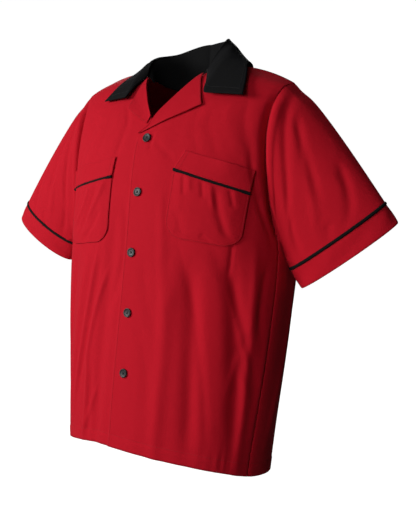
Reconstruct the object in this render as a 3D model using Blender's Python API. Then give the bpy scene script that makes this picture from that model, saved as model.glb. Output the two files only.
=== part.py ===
"""A short-sleeved bowling shirt with a camp collar, filled out hollow as it is worn.

Metres, +Z up.  The shirt faces -Y, the wearer's left is +X, and the origin is
the middle of the shoulder line, where the wearer's shoulders carry the shirt.
Every panel is a wall of cloth worked out from rows of sizes: a row gives the
panel's inner and outer edge at one height, and how far it turns between them.
"""

import math
from collections import namedtuple

import bpy
import numpy as np

# ------------------------------------------------------------------ sizes
CLOTH = 0.0012            # wall of one panel of cloth
BAND_CLOTH = 0.0018       # wall of the doubled sleeve bands and the collar
SEAM = 0.0003             # gap kept between neighbouring pieces
STANDOFF = CLOTH + SEAM   # how far a piece that lies on a panel is moved out

OVERLAP = 0.022           # the fronts reach this far past the centre line
BREAK_STATION = 0.528     # where the lapels start to turn out
BUTTON_HEIGHTS = (-0.134, -0.224, -0.323, -0.422, -0.521)
BUTTON_RADIUS = 0.0076
BUTTON_DEPTH = 0.0028

# Rows of the front, from the hem up.  station: distance above the hem;
# in_*: centre line, then the roll of the lapel; out_*: side seam, then armhole;
# turn: degrees the cloth turns from the inner to the outer edge.
Row = namedtuple("Row", "station in_x in_y in_z out_x out_y out_z turn")
FRONT_ROWS = (
    Row(0.000, 0.000, -0.150, -0.648, 0.199, -0.058, -0.671, 77),
    Row(0.120, 0.000, -0.150, -0.528, 0.210, -0.057, -0.552, 77),
    Row(0.240, 0.000, -0.150, -0.404, 0.216, -0.057, -0.426, 77),
    Row(0.330, 0.000, -0.149, -0.310, 0.216, -0.058, -0.322, 76),
    Row(0.362, 0.000, -0.147, -0.278, 0.213, -0.060, -0.286, 75),
    Row(0.395, 0.000, -0.143, -0.245, 0.207, -0.066, -0.250, 71),
    Row(0.440, 0.000, -0.135, -0.200, 0.2030, -0.069, -0.208, 66),
    Row(0.485, 0.000, -0.124, -0.155, 0.1990, -0.0705, -0.163, 60),
    Row(0.528, 0.000, -0.107, -0.108, 0.196, -0.067, -0.118, 52),
    Row(0.570, 0.026, -0.083, -0.066, 0.197, -0.053, -0.078, 42),
    Row(0.608, 0.053, -0.050, -0.027, 0.203, -0.030, -0.050, 30),
    Row(0.650, 0.072, 0.000, 0.000, 0.210, 0.000, -0.038, 16),
)
# Rows of the back: the centre line, then the neck edge; the side seam is the front's.
BACK_ROWS = (
    Row(0.000, 0.000, 0.092, -0.688, 0.199, -0.058, -0.671, 103),
    Row(0.120, 0.000, 0.099, -0.563, 0.210, -0.057, -0.552, 103),
    Row(0.240, 0.000, 0.107, -0.434, 0.216, -0.057, -0.426, 103),
    Row(0.330, 0.000, 0.116, -0.328, 0.216, -0.058, -0.322, 104),
    Row(0.362, 0.000, 0.120, -0.291, 0.213, -0.060, -0.286, 105),
    Row(0.395, 0.000, 0.124, -0.255, 0.221, -0.012, -0.272, 93),
    Row(0.440, 0.000, 0.126, -0.205, 0.210, 0.048, -0.228, 78),
    Row(0.485, 0.000, 0.125, -0.158, 0.202, 0.072, -0.170, 66),
    Row(0.528, 0.000, 0.118, -0.108, 0.197, 0.076, -0.118, 52),
    Row(0.570, 0.000, 0.104, -0.062, 0.198, 0.062, -0.080, 44),
    Row(0.608, 0.000, 0.080, -0.020, 0.203, 0.038, -0.052, 36),
    Row(0.628, 0.052, 0.052, -0.008, 0.207, 0.018, -0.043, 26),
    Row(0.650, 0.072, 0.000, 0.000, 0.210, 0.000, -0.038, 16),
)
ARMPIT_STATION = 0.362
NECK_STATION = 0.608      # where the back's neck edge leaves the centre line
SHOULDER_STATION = 0.650

# How the lower part of the shirt hangs: forward, and turned a little to the right.
LEAN = 0.025              # forward shift at the hem
TWIST = math.radians(-6)  # turn about the vertical at the hem
HANG_TOP, HANG_BOTTOM = -0.20, -0.70
FALL = 2.0                # exponent of the fall in height from the inner to the outer edge
FULLNESS = 2.2            # exponent of the sections: 2 is an ellipse, more is boxier
RIGHT_SHOULDER_LIFT = 0.008
RIGHT_HEM_DROP = 0.014
SWAY = 0.008              # how far the body hangs to the left

# Each sleeve's opening: its top and its under corner, its half thickness and how many
# degrees its front edge hangs lower than square.
Opening = namedtuple("Opening", "top under half_thickness tilt")
SLEEVE_OPENINGS = {
    1: Opening((0.398, -0.018, -0.262), (0.253, -0.040, -0.370), 0.032, 19),
    -1: Opening((-0.386, -0.022, -0.272), (-0.240, -0.035, -0.354), 0.030, 6),
}
SLEEVE_START_PULL = 0.16  # how far the sleeve keeps the shoulder's slope
SLEEVE_END_PULL = 0.20    # how far it keeps the opening's direction
CROWN_PULL = np.array((0.46, 0.0, 0.08))      # the slope the sleeve leaves the shoulder with
UNDER_PULL = np.array((0.30, -0.10, -0.60))   # and the one it leaves the armpit with
BAND_DEPTH = 0.036        # from a sleeve's piping to its opening

# The largest folds: a soft ridge (depth over 0) or trough along a line on a panel,
# from height z0 to z1; girth is the distance from the centre line round the body.
Fold = namedtuple("Fold", "girth0 z0 girth1 z1 width depth")
LEFT_FOLDS = (
    Fold(0.066, -0.330, 0.075, -0.640, 0.013, 0.004),
    Fold(0.098, -0.320, 0.135, -0.610, 0.015, -0.006),
    Fold(0.165, -0.310, 0.225, -0.600, 0.016, -0.006),
    Fold(0.215, -0.300, 0.240, -0.640, 0.012, 0.004),
)
RIGHT_FOLDS = (
    Fold(0.045, -0.230, 0.060, -0.640, 0.013, -0.004),
    Fold(0.105, -0.310, 0.155, -0.600, 0.014, 0.004),
    Fold(0.150, -0.320, 0.210, -0.600, 0.014, -0.005),
)
BACK_FOLDS = (
    Fold(0.040, -0.200, 0.050, -0.640, 0.018, -0.005),
    Fold(0.120, -0.220, 0.130, -0.600, 0.018, 0.005),
    Fold(0.190, -0.240, 0.200, -0.620, 0.016, -0.005),
)

# The collar, from the back's centre line (share 0) to its front end (share 1):
# the end of its inner leg, its fold, the middle of its fall and its outer edge.
CollarRow = namedtuple("CollarRow", "share leg_x leg_y leg_z fold_x fold_y fold_z "
                                    "mid_x mid_y mid_z edge_x edge_y edge_z")
COLLAR_ROWS = (
    CollarRow(0.00, 0.000, 0.066, -0.034, 0.000, 0.078, 0.060,
              0.000, 0.096, 0.014, 0.000, 0.106, -0.032),
    CollarRow(0.30, 0.036, 0.048, -0.032, 0.046, 0.061, 0.060,
              0.064, 0.078, 0.024, 0.078, 0.086, -0.016),
    CollarRow(0.55, 0.055, 0.014, -0.026, 0.068, 0.018, 0.050,
              0.092, 0.026, 0.026, 0.115, 0.031, 0.003),
    CollarRow(0.75, 0.060, -0.012, -0.020, 0.070, -0.012, 0.026,
              0.096, -0.020, 0.011, 0.128, -0.013, -0.002),
    CollarRow(0.90, 0.0525, -0.029, -0.022, 0.067, -0.030, 0.004,
              0.094, -0.053, -0.019, 0.146, -0.048, -0.029),
    CollarRow(1.00, 0.0475, -0.036, -0.027, 0.0645, -0.039, -0.011,
              0.0900, -0.0870, -0.0580, 0.158, -0.0800, -0.0650),
)
RIGHT_COLLAR_TUCK = 0.032  # the right side of the fall lies this much nearer the neck
RIGHT_COLLAR_DROP = 0.022  # the right side of the fold stands this much lower
RIGHT_COLLAR_SPREAD = 0.012  # and this much further out
COLLAR_FOLD_RADIUS = 0.0026

# Each lapel on its front: the stations of its roll's two ends, then its point and its
# lower tip, as x and height.
Lapel = namedtuple("Lapel", "roll_top roll_end point tip")
LAPELS = {
    1: Lapel(0.618, 0.510, (0.0875, -0.0800), (-0.018, -0.126)),
    -1: Lapel(0.618, 0.540, (0.0600, -0.0820), (0.010, -0.108)),
}

# Each pocket on its front, as x and height: the band's four corners (its lower edge
# is the pocket's mouth), then the height of the pocket's bottom at its two sides.
Pocket = namedtuple("Pocket", "top_in top_out mouth_in mouth_out bottom_in bottom_out")
POCKETS = {
    1: Pocket((0.078, -0.156), (0.187, -0.187), (0.0625, -0.187), (0.1835, -0.2235),
              (0.060, -0.293), (0.180, -0.309)),
    -1: Pocket((0.060, -0.164), (0.184, -0.187), (0.0625, -0.198), (0.183, -0.2190),
               (0.058, -0.307), (0.178, -0.319)),
}
POCKET_CORNER = 0.028     # radius of the pocket's lower corners
POCKET_LIFT = 0.0006      # room between a pocket or lapel and the front
ROLL_LIFT = 0.0015        # how much further out a lapel stands at its roll
PIPING_WIDTH = 0.0042
PIPING_PROUD = 0.0009     # how much thicker than a band the piping is


# ------------------------------------------------------------------ the form
def interpolate(rows, stations):
    """Smooth curve through a table's rows: each column is a cubic through its values."""
    table = np.array(rows, dtype=float)
    knots, values = table[:, 0], table[:, 1:]
    slopes = np.gradient(values, knots, axis=0)
    t = np.clip(np.asarray(stations, dtype=float), knots[0], knots[-1])
    i = np.clip(np.searchsorted(knots, t, side="right") - 1, 0, len(knots) - 2)
    step = (knots[i + 1] - knots[i])[..., None]
    u = ((t - knots[i]) / step[..., 0])[..., None]
    return ((2 * u**3 - 3 * u**2 + 1) * values[i] + (u**3 - 2 * u**2 + u) * step * slopes[i]
            + (3 * u**2 - 2 * u**3) * values[i + 1] + (u**3 - u**2) * step * slopes[i + 1])


def smoothstep(low, high, value):
    """0 below low, 1 above high, and an even rise between them."""
    u = np.clip((np.asarray(value, dtype=float) - low) / (high - low), 0.0, 1.0)
    return u * u * (3 - 2 * u)


def hang(points):
    """Let the lower part of the shirt swing forward and turn about the vertical."""
    height = points[..., 2]
    share = smoothstep(-HANG_TOP, -HANG_BOTTOM, -height)
    angle = TWIST * share
    x = points[..., 0] * np.cos(angle) - points[..., 1] * np.sin(angle)
    y = points[..., 0] * np.sin(angle) + points[..., 1] * np.cos(angle) - LEAN * share
    x = x + SWAY * smoothstep(0.14, 0.32, -height)
    right = smoothstep(0.03, 0.20, -x)
    lift = RIGHT_SHOULDER_LIFT * smoothstep(-0.22, -0.05, height) * right
    drop = RIGHT_HEM_DROP * smoothstep(0.35, 0.70, -height) * right
    return np.stack([x, y, height + lift - drop], axis=-1)


def form(rows, side, across, stations):
    """Points of a panel: across runs from 0 at its inner edge to 1 at its outer edge.

    Each row is an arc of a rounded section from the inner to the outer point, and the
    height falls ever faster between them.  side is 1 for the wearer's left, -1 for the right.
    """
    across, stations = np.broadcast_arrays(across, stations)
    row = interpolate(rows, stations)
    turn = np.radians(row[..., 6])

    def depth(angle):
        rounded = np.maximum(1 - np.abs(np.sin(angle)) ** FULLNESS, 0) ** (1 / FULLNESS)
        return 1 - np.sign(np.cos(angle)) * rounded

    along = np.sin(across * turn) / np.sin(turn)
    inner_x = np.maximum(row[..., 0], 0)
    x = inner_x + (row[..., 3] - inner_x) * along
    y = row[..., 1] + (row[..., 4] - row[..., 1]) * depth(across * turn) / depth(turn)
    z = row[..., 2] + (row[..., 5] - row[..., 2]) * np.abs(across) ** FALL
    return hang(np.stack([side * x, y, z], axis=-1))


def unit(vectors):
    """The same directions at length one."""
    return vectors / np.linalg.norm(vectors, axis=-1, keepdims=True)


def sleeve_form(side, ring, along):
    """Points of a sleeve: a smooth loft from the armhole's ring to the sleeve's opening.

    ring holds the armhole's points from the underarm up the front, over the shoulder
    and down the back; along runs from 0 at the armhole to 1 at the opening.
    """
    opening = SLEEVE_OPENINGS[side]
    top, under = np.array(opening.top), np.array(opening.under)
    reach = (top - under) / 2
    outward = unit(np.cross(reach, (0, -1, 0))) * side
    tilt = math.radians(opening.tilt)
    front = np.array((0, -math.cos(tilt), 0)) + outward * math.sin(tilt)
    front = front * opening.half_thickness
    steps = np.linalg.norm(np.diff(np.vstack([ring, ring[:1]]), axis=0), axis=1)
    crown = len(ring) // 2
    share = np.concatenate([[0], np.cumsum(steps)])
    turn = np.where(np.arange(len(ring)) <= crown,
                    share[:-1] / share[crown],
                    1 + (share[:-1] - share[crown]) / (share[-1] - share[crown])) * math.pi
    end = (top + under) / 2 - np.cos(turn)[:, None] * reach + np.sin(turn)[:, None] * front
    chord = end - ring
    crown_share = (1 - np.cos(turn))[:, None] / 2
    pull = (crown_share * CROWN_PULL + (1 - crown_share) * UNDER_PULL) * (side, 1, 1)
    start_pull = unit(unit(chord) + pull) * SLEEVE_START_PULL
    end_pull = outward * SLEEVE_END_PULL
    u = np.asarray(along, dtype=float)[..., None]
    return ((2 * u**3 - 3 * u**2 + 1) * ring + (u**3 - 2 * u**2 + u) * start_pull
            + (3 * u**2 - 2 * u**3) * end + (u**3 - u**2) * end_pull)


FRONT, BACK = "front", "back"
PANEL_ROWS = {FRONT: FRONT_ROWS, BACK: BACK_ROWS}
PANEL_SIGN = {FRONT: 1, BACK: -1}
FOLDS = {(FRONT, 1): LEFT_FOLDS, (FRONT, -1): RIGHT_FOLDS,
         (BACK, 1): BACK_FOLDS, (BACK, -1): BACK_FOLDS}
QUARTER_GIRTH = 0.275     # from the centre line round to the side seam


def fold_height(folds, girth, height):
    """How far the folds raise or sink the cloth at each point of a panel."""
    total = np.zeros(np.shape(girth))
    for fold in folds:
        run = np.array((fold.girth1 - fold.girth0, fold.z1 - fold.z0))
        length = np.hypot(*run)
        u = ((girth - fold.girth0) * run[0] + (height - fold.z0) * run[1]) / length**2
        across = ((girth - fold.girth0) * run[1] - (height - fold.z0) * run[0]) / length
        ends = smoothstep(-0.05, 0.25, u) * (1 - smoothstep(0.85, 1.25, u))
        total += fold.depth * ends * np.exp(-(across / fold.width) ** 2)
    return total


def across_at_overlap(stations):
    """The across value of a front's free edge: past the centre line, then on the roll."""
    row = interpolate(FRONT_ROWS, stations)
    turn = np.radians(row[..., 6])
    reach = OVERLAP * (1 - smoothstep(BREAK_STATION - 0.022, BREAK_STATION, stations))
    return -np.arcsin(reach * np.sin(turn) / row[..., 3]) / turn


def panel_points(panel, side, across, stations, lift=0.0):
    """Outer points of a panel with its folds, moved out by lift."""
    across, stations, lift = np.broadcast_arrays(across, stations, lift)
    rows, step = PANEL_ROWS[panel], 1e-4
    here = form(rows, side, across, stations)
    along = form(rows, side, across + step, stations) - form(rows, side, across - step, stations)
    low, high = np.maximum(stations - step, 0), np.minimum(stations + step, SHOULDER_STATION)
    up = form(rows, side, across, high) - form(rows, side, across, low)
    normal = unit(np.cross(along, up)) * side * PANEL_SIGN[panel]
    height = lift + fold_height(FOLDS[panel, side], across * QUARTER_GIRTH, here[..., 2])
    if panel == FRONT and side > 0:
        near_centre = 1 - smoothstep(0.10, 0.28, across)
        height = height + (STANDOFF + SEAM) * near_centre * (1 - smoothstep(0.53, 0.60, stations))
    return here + normal * height[..., None]


def front_points_at(side, x, height, lift):
    """Points on a front's outer face over given x (from the centre) and height, moved out."""
    x, height = np.broadcast_arrays(np.asarray(x, dtype=float), np.asarray(height, dtype=float))
    across = np.clip(np.abs(x) / 0.25, 0.05, 1.0) * np.sign(x + 1e-9)
    stations = np.clip(height + 0.63, 0.02, 0.62)
    step = 1e-4
    for _ in range(12):
        here = form(FRONT_ROWS, side, across, stations)
        d_across = (form(FRONT_ROWS, side, across + step, stations) - here) / step
        d_station = (form(FRONT_ROWS, side, across, stations + step) - here) / step
        miss_x, miss_z = side * x - here[..., 0], height - here[..., 2]
        det = d_across[..., 0] * d_station[..., 2] - d_across[..., 2] * d_station[..., 0]
        move_across = (miss_x * d_station[..., 2] - miss_z * d_station[..., 0]) / det
        move_station = (d_across[..., 0] * miss_z - d_across[..., 2] * miss_x) / det
        across = across + np.clip(move_across, -0.2, 0.2)
        stations = np.clip(stations + np.clip(move_station, -0.05, 0.05), 0.0, SHOULDER_STATION - 2e-4)
    return panel_points(FRONT, side, across, stations, lift)


# ------------------------------------------------------------------ build
def grid_normals(grid, closed=False):
    """Unit normals of a grid of points; a closed grid joins its last column to its first."""
    if closed:
        ring = np.concatenate([grid[:, -1:], grid, grid[:, :1]], axis=1)
        along = (ring[:, 2:] - ring[:, :-2]) / 2
    else:
        along = np.gradient(grid, axis=1)
    return unit(np.cross(along, np.gradient(grid, axis=0)))


def grid_faces(index, closed=False):
    """Quads over a grid of point numbers; a closed grid joins its last column to its first."""
    if closed:
        index = np.concatenate([index, index[:, :1]], axis=1)
    corners = index[:-1, :-1], index[:-1, 1:], index[1:, 1:], index[1:, :-1]
    return np.stack(corners, axis=-1).reshape(-1, 4)


def wall(name, outer, inward, material, closed=False, faces=None):
    """A closed wall of cloth from its outer points and the vectors to its inner face.

    faces are quads over the outer points, a plain grid unless they are given.
    """
    if faces is None:
        faces = grid_faces(np.arange(outer[..., 0].size).reshape(outer.shape[:2]), closed)
    outer, inward = outer.reshape(-1, 3), inward.reshape(-1, 3)
    edges = np.concatenate([faces[:, (i, (i + 1) % 4)] for i in range(4)])
    paired = {tuple(edge) for edge in edges[:, ::-1].tolist()}
    border = np.array([edge for edge in edges.tolist() if tuple(edge) not in paired])
    count = len(outer)
    rims = np.stack([border[:, 1], border[:, 0], border[:, 0] + count, border[:, 1] + count], axis=-1)
    points = np.concatenate([outer, outer + inward])
    faces = np.concatenate([faces, faces[:, ::-1] + count, rims])
    corner = points[faces]
    volume = np.einsum("ij,ij->", corner[:, 0], np.cross(corner[:, 1], corner[:, 2])
                       + np.cross(corner[:, 2], corner[:, 3]))
    if volume < 0:
        faces = faces[:, ::-1]
    mesh = bpy.data.meshes.new(name)
    mesh.from_pydata(points.tolist(), [], faces.tolist())
    mesh.shade_smooth()
    mesh.set_sharp_from_angle(angle=math.radians(50))
    return add_object(name, mesh, material)


def add_object(name, mesh, material):
    """Put a finished mesh in the scene under its piece's name."""
    mesh.materials.append(material)
    piece = bpy.data.objects.new(name, mesh)
    bpy.context.scene.collection.objects.link(piece)
    return piece


def make_material(name, colour, roughness):
    """A plain finish."""
    material = bpy.data.materials.new(name)
    material.use_nodes = True
    shader = material.node_tree.nodes["Principled BSDF"]
    shader.inputs["Base Color"].default_value = (*colour, 1.0)
    shader.inputs["Roughness"].default_value = roughness
    shader.inputs["Metallic"].default_value = 0.0
    return material


def draw_in(grid, edge, distance=1.5 * SEAM):
    """Pull one border of a grid back from its seam; edge is first_row, last_row, first or last."""
    grid = grid.copy()
    view = grid if edge.endswith("row") else grid.swapaxes(0, 1)
    border, neighbour = (0, 1) if edge.startswith("first") else (-1, -2)
    view[border] += unit(view[neighbour] - view[border]) * distance
    return grid


# ------------------------------------------------------------------ body and sleeves
LOWER_ROWS, CHEST_ROWS, NECK_ROWS = 8, 8, 5   # grid rows up to the armpit, the neck, the shoulder
UPPER_ROWS = CHEST_ROWS + NECK_ROWS
FRONT_COLUMNS, BACK_COLUMNS = 11, 11


def body_stations():
    """Heights of the grid's rows, with one exactly at the armpit and one at the back neck."""
    lower = np.linspace(0, ARMPIT_STATION, LOWER_ROWS + 1)
    chest = np.linspace(ARMPIT_STATION, NECK_STATION, CHEST_ROWS + 1)
    neck = np.linspace(NECK_STATION, SHOULDER_STATION, NECK_ROWS + 1)
    return np.concatenate([lower, chest[1:], neck[1:]])


def front_grid(side):
    """Outer points of one front, its free edge first."""
    stations = body_stations()
    start = across_at_overlap(stations)[:, None]
    share = np.linspace(0, 1, FRONT_COLUMNS)[None, :]
    return panel_points(FRONT, side, start + (1 - start) * share, stations[:, None])


def back_grid(side):
    """Outer points of one half of the back, its centre line first."""
    across = np.linspace(0, 1, BACK_COLUMNS)[None, :]
    return panel_points(BACK, side, across, body_stations()[:, None])


def mitre(normals_a, normals_b, thickness):
    """Vectors from outer to inner face along a seam that two walls share."""
    shared = unit(normals_a + normals_b)
    spread = np.maximum(np.sum(shared * normals_a, axis=-1, keepdims=True), 0.62)
    return -shared * thickness / spread


def body_and_sleeves(red, black):
    """The two fronts, the back, and the sleeves with their bands and piping."""
    back_halves = {}
    for side, name in ((1, "left"), (-1, "right")):
        front, back = front_grid(side), back_grid(side)
        back[:LOWER_ROWS + 1, -1] = front[:LOWER_ROWS + 1, -1]
        back[-1] = side_by_side(front, back)
        front_normals = grid_normals(front) * side
        back_normals = -grid_normals(back) * side
        seam = slice(0, LOWER_ROWS + 1)
        for front_part, back_part in (((seam, -1), (seam, -1)), ((-1,), (-1,))):
            shared = unit(front_normals[front_part] + back_normals[back_part])
            front_normals[front_part] = shared
            back_normals[back_part] = shared
        ring, ring_normals = armhole(front, back, front_normals, back_normals)
        sleeve_rims = sleeve(side, name, ring, ring_normals, red, black)
        front_inward, back_inward = -front_normals * CLOTH, -back_normals * CLOTH
        front_inward[LOWER_ROWS:, -1] = sleeve_rims[:UPPER_ROWS + 1]
        back_inward[LOWER_ROWS:, -1] = np.vstack([sleeve_rims[:1], sleeve_rims[:UPPER_ROWS - 1:-1]])
        wall(name + "_front", draw_in(draw_in(front, "last"), "last_row"), front_inward, red)
        back_halves[side] = draw_in(draw_in(back, "last"), "last_row"), back_inward
    join_back(back_halves, red)


def join_back(halves, red):
    """The back in one piece: its halves meet on their centre line up to the neck edge."""
    outer, inward = (np.concatenate([right[:, ::-1], left], axis=1)
                     for right, left in zip(halves[-1], halves[1]))
    index = np.arange(outer[..., 0].size).reshape(outer.shape[:2])
    below_neck = LOWER_ROWS + CHEST_ROWS + 1
    index[:below_neck, BACK_COLUMNS - 1] = index[:below_neck, BACK_COLUMNS]
    faces = np.concatenate([grid_faces(index[:, :BACK_COLUMNS]), grid_faces(index[:, BACK_COLUMNS:])])
    used, faces = np.unique(faces, return_inverse=True)
    wall("back", outer.reshape(-1, 3)[used], inward.reshape(-1, 3)[used], red, faces=faces.reshape(-1, 4))


def side_by_side(front, back):
    """The back's shoulder row: the front's shoulder seam, reached at the back's own columns."""
    share = np.linspace(0, 1, back.shape[1])
    spots = np.linspace(0, 1, front.shape[1])
    return np.stack([np.interp(share, spots, front[-1, :, axis]) for axis in range(3)], axis=-1)


def armhole(front, back, front_normals, back_normals):
    """The armhole's ring, up the front and down the back, with the body's normals."""
    ring = np.vstack([front[LOWER_ROWS:, -1], back[-2:LOWER_ROWS:-1, -1]])
    normals = np.vstack([front_normals[LOWER_ROWS:, -1], back_normals[-2:LOWER_ROWS:-1, -1]])
    return ring, normals


def share_above_opening(side, ring, depth):
    """How far along the sleeve each line of the ring is when depth is left to the opening."""
    shares = np.linspace(0, 1, 61)
    lines = sleeve_form(side, ring, shares[:, None])
    steps = np.linalg.norm(np.diff(lines, axis=0), axis=-1)
    left = np.cumsum(steps[::-1], axis=0)[::-1]
    return np.array([np.interp(-depth, -np.append(column, 0), shares) for column in left.T])


def sleeve(side, name, ring, body_normals, red, black):
    """One sleeve, its band and the piping between; gives the armhole's shared rim vectors."""
    def part(start, end, rows, lift):
        share = np.linspace(0, 1, rows)[:, None]
        grid = sleeve_form(side, ring, start * (1 - share) + end * share)
        normals = -grid_normals(grid, closed=True) * side
        return grid + normals * lift, normals

    above = share_above_opening(side, ring, BAND_DEPTH + PIPING_WIDTH / 2)
    below = share_above_opening(side, ring, BAND_DEPTH - PIPING_WIDTH / 2)
    grid, normals = part(np.zeros(len(ring)), above, 8, 0.0)
    rims = mitre(normals[0], body_normals, CLOTH)
    inward = -normals * CLOTH
    inward[0] = rims
    grid = draw_in(draw_in(grid, "first_row", 4 * SEAM), "last_row")
    wall(name + "_sleeve", grid, inward, red, closed=True)
    grid, normals = part(above, below, 3, PIPING_PROUD)
    wall(name + "_sleeve_piping", grid, -normals * (BAND_CLOTH + PIPING_PROUD), black, closed=True)
    grid, normals = part(below, np.ones(len(ring)), 3, 0.0)
    wall(name + "_sleeve_band", draw_in(grid, "first_row"), -normals * BAND_CLOTH, red, closed=True)
    return rims


# ------------------------------------------------------------------ collar and lapels
COLLAR_STATIONS = 10


def collar_grid():
    """The collar's shown face, from the right front end round the back to the left.

    Each station runs from the inner leg's end up over the fold and down the fall.
    """
    shares = np.linspace(0, 1, COLLAR_STATIONS + 1)
    row = interpolate(COLLAR_ROWS, shares)
    leg, fold, mid, edge = (row[:, 3 * i:3 * i + 3] for i in range(4))
    out = unit((mid - fold) * (1, 1, 0)) * COLLAR_FOLD_RADIUS
    up = np.array((0, 0, COLLAR_FOLD_RADIUS))
    line = [leg, (leg + fold - out) / 2, fold - out - up, fold, fold + out - up,
            (fold + out + mid) / 2, mid, (mid + edge) / 2, edge]
    half = np.stack(line, axis=1)
    mirrored = half[:0:-1] * (-1, 1, 1)
    tuck = RIGHT_COLLAR_TUCK * smoothstep(0.1, 0.6, shares[:0:-1, None])
    mirrored[..., 0] += tuck * np.maximum(np.linspace(-0.6, 1, len(line)), 0)
    standing = smoothstep(0.0, 0.06, mirrored[..., 2]) * smoothstep(0, 0.5, shares[:0:-1, None])
    mirrored[..., 0] -= RIGHT_COLLAR_SPREAD * standing
    mirrored[..., 2] -= RIGHT_COLLAR_DROP * standing
    return hang(np.concatenate([mirrored, half]))


def collar(black):
    """The collar: an inner leg and a fall in one folded piece."""
    grid = collar_grid()
    normals = grid_normals(grid)
    if np.sum(normals[COLLAR_STATIONS, 3] * (0, 0, 1)) < 0:
        normals = -normals
    wall("collar", grid, -normals * CLOTH, black)


def lapel(side, name, red):
    """One lapel, lying on its front from the roll to its outer edge."""
    shape = LAPELS[side]
    k = np.linspace(0, 1, 9)[:, None]
    v = np.array((0, 0.2, 0.45, 0.7, 1.0))[None, :]
    station = k * shape.roll_end + (1 - k) * shape.roll_top
    roll = form(FRONT_ROWS, side, across_at_overlap(station), station)
    outer = (1 - k) * np.array(shape.point) + k * np.array(shape.tip)
    start = np.concatenate([side * roll[..., 0], roll[..., 2]], axis=1)
    spot = start[:, None, :] * (1 - v[..., None]) + outer[:, None, :] * v[..., None]
    lift = STANDOFF + POCKET_LIFT + ROLL_LIFT * (1 - v) ** 2
    grid = front_points_at(side, spot[..., 0], spot[..., 1], lift)
    normals = grid_normals(grid)
    if normals[4, 2, 1] > 0:
        normals = -normals
    wall(name + "_lapel", grid, -normals * CLOTH, red)


# ------------------------------------------------------------------ pockets
def patch(side, spots, lift):
    """Outer points over a grid of (x, height) spots on a front, with their outward normals."""
    grid = front_points_at(side, spots[..., 0], spots[..., 1], lift)
    normals = grid_normals(grid)
    if normals[0, 0, 1] > 0:
        normals = -normals
    return grid, normals


def blend(start, end, share):
    """Spots between two spots, share being a column or a row of numbers from 0 to 1."""
    return np.array(start) * (1 - share[..., None]) + np.array(end) * share[..., None]


def pocket(side, name, red, black):
    """One patch pocket: its bag with round lower corners, the piping and the slanting band."""
    shape = POCKETS[side]
    mouth_in, mouth_out = np.array(shape.mouth_in), np.array(shape.mouth_out)
    bottom_in, bottom_out = np.array(shape.bottom_in), np.array(shape.bottom_out)
    depth = np.linalg.norm(bottom_in - mouth_in)
    width = np.linalg.norm(bottom_out - bottom_in)
    down = unit(bottom_in - mouth_in)
    gap = (PIPING_WIDTH / 2 + SEAM)

    straight = np.linspace(0, 1 - POCKET_CORNER / depth, 5)
    bend = np.radians(np.linspace(22.5, 90, 4))
    levels = np.concatenate([straight, 1 - POCKET_CORNER / depth * (1 - np.sin(bend))])
    inset = np.concatenate([np.zeros(5), POCKET_CORNER / width * (1 - np.cos(bend))])
    across = np.linspace(0, 1, 9)[None, :]
    columns = inset[:, None] + (1 - 2 * inset[:, None]) * across
    top = blend(mouth_in + down * gap, mouth_out + down * gap, columns)
    bottom = blend(bottom_in, bottom_out, columns)
    spots = top + (bottom - top) * levels[:, None, None]
    lift = STANDOFF + POCKET_LIFT
    grid, normals = patch(side, spots, lift)
    wall(name + "_pocket", grid, -normals * CLOTH, red)

    strip = np.array((gap - SEAM, 0, SEAM - gap))[:, None]
    row = blend(mouth_in, mouth_out, across)
    spots = row + down * strip[..., None]
    grid, normals = patch(side, spots, lift + PIPING_PROUD)
    wall(name + "_pocket_piping", grid, -normals * (CLOTH + PIPING_PROUD), black)

    share = np.linspace(0, 1, 3)[:, None, None]
    lower = blend(mouth_in - down * gap, mouth_out - down * gap, across)
    upper = blend(shape.top_in, shape.top_out, across)
    grid, normals = patch(side, upper * (1 - share) + lower * share, lift)
    wall(name + "_pocket_band", grid, -normals * CLOTH, red)


# ------------------------------------------------------------------ buttons
HOLE_RADIUS, HOLE_OFFSET = 0.00085, 0.00125   # each hole from the button's two middle lines
BUTTON_SIDES = 20
# A button's turned profile, from the middle of its back to its dished front, as shares
# of its radius and of its depth.
Turned = namedtuple("Turned", "radius rise")
BUTTON_PROFILE = (
    Turned(0.00, 0.00),
    Turned(0.74, 0.00),
    Turned(0.97, 0.30),
    Turned(1.00, 0.62),
    Turned(0.93, 0.95),
    Turned(0.80, 1.00),
    Turned(0.66, 0.70),
    Turned(0.00, 0.62),
)


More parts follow.
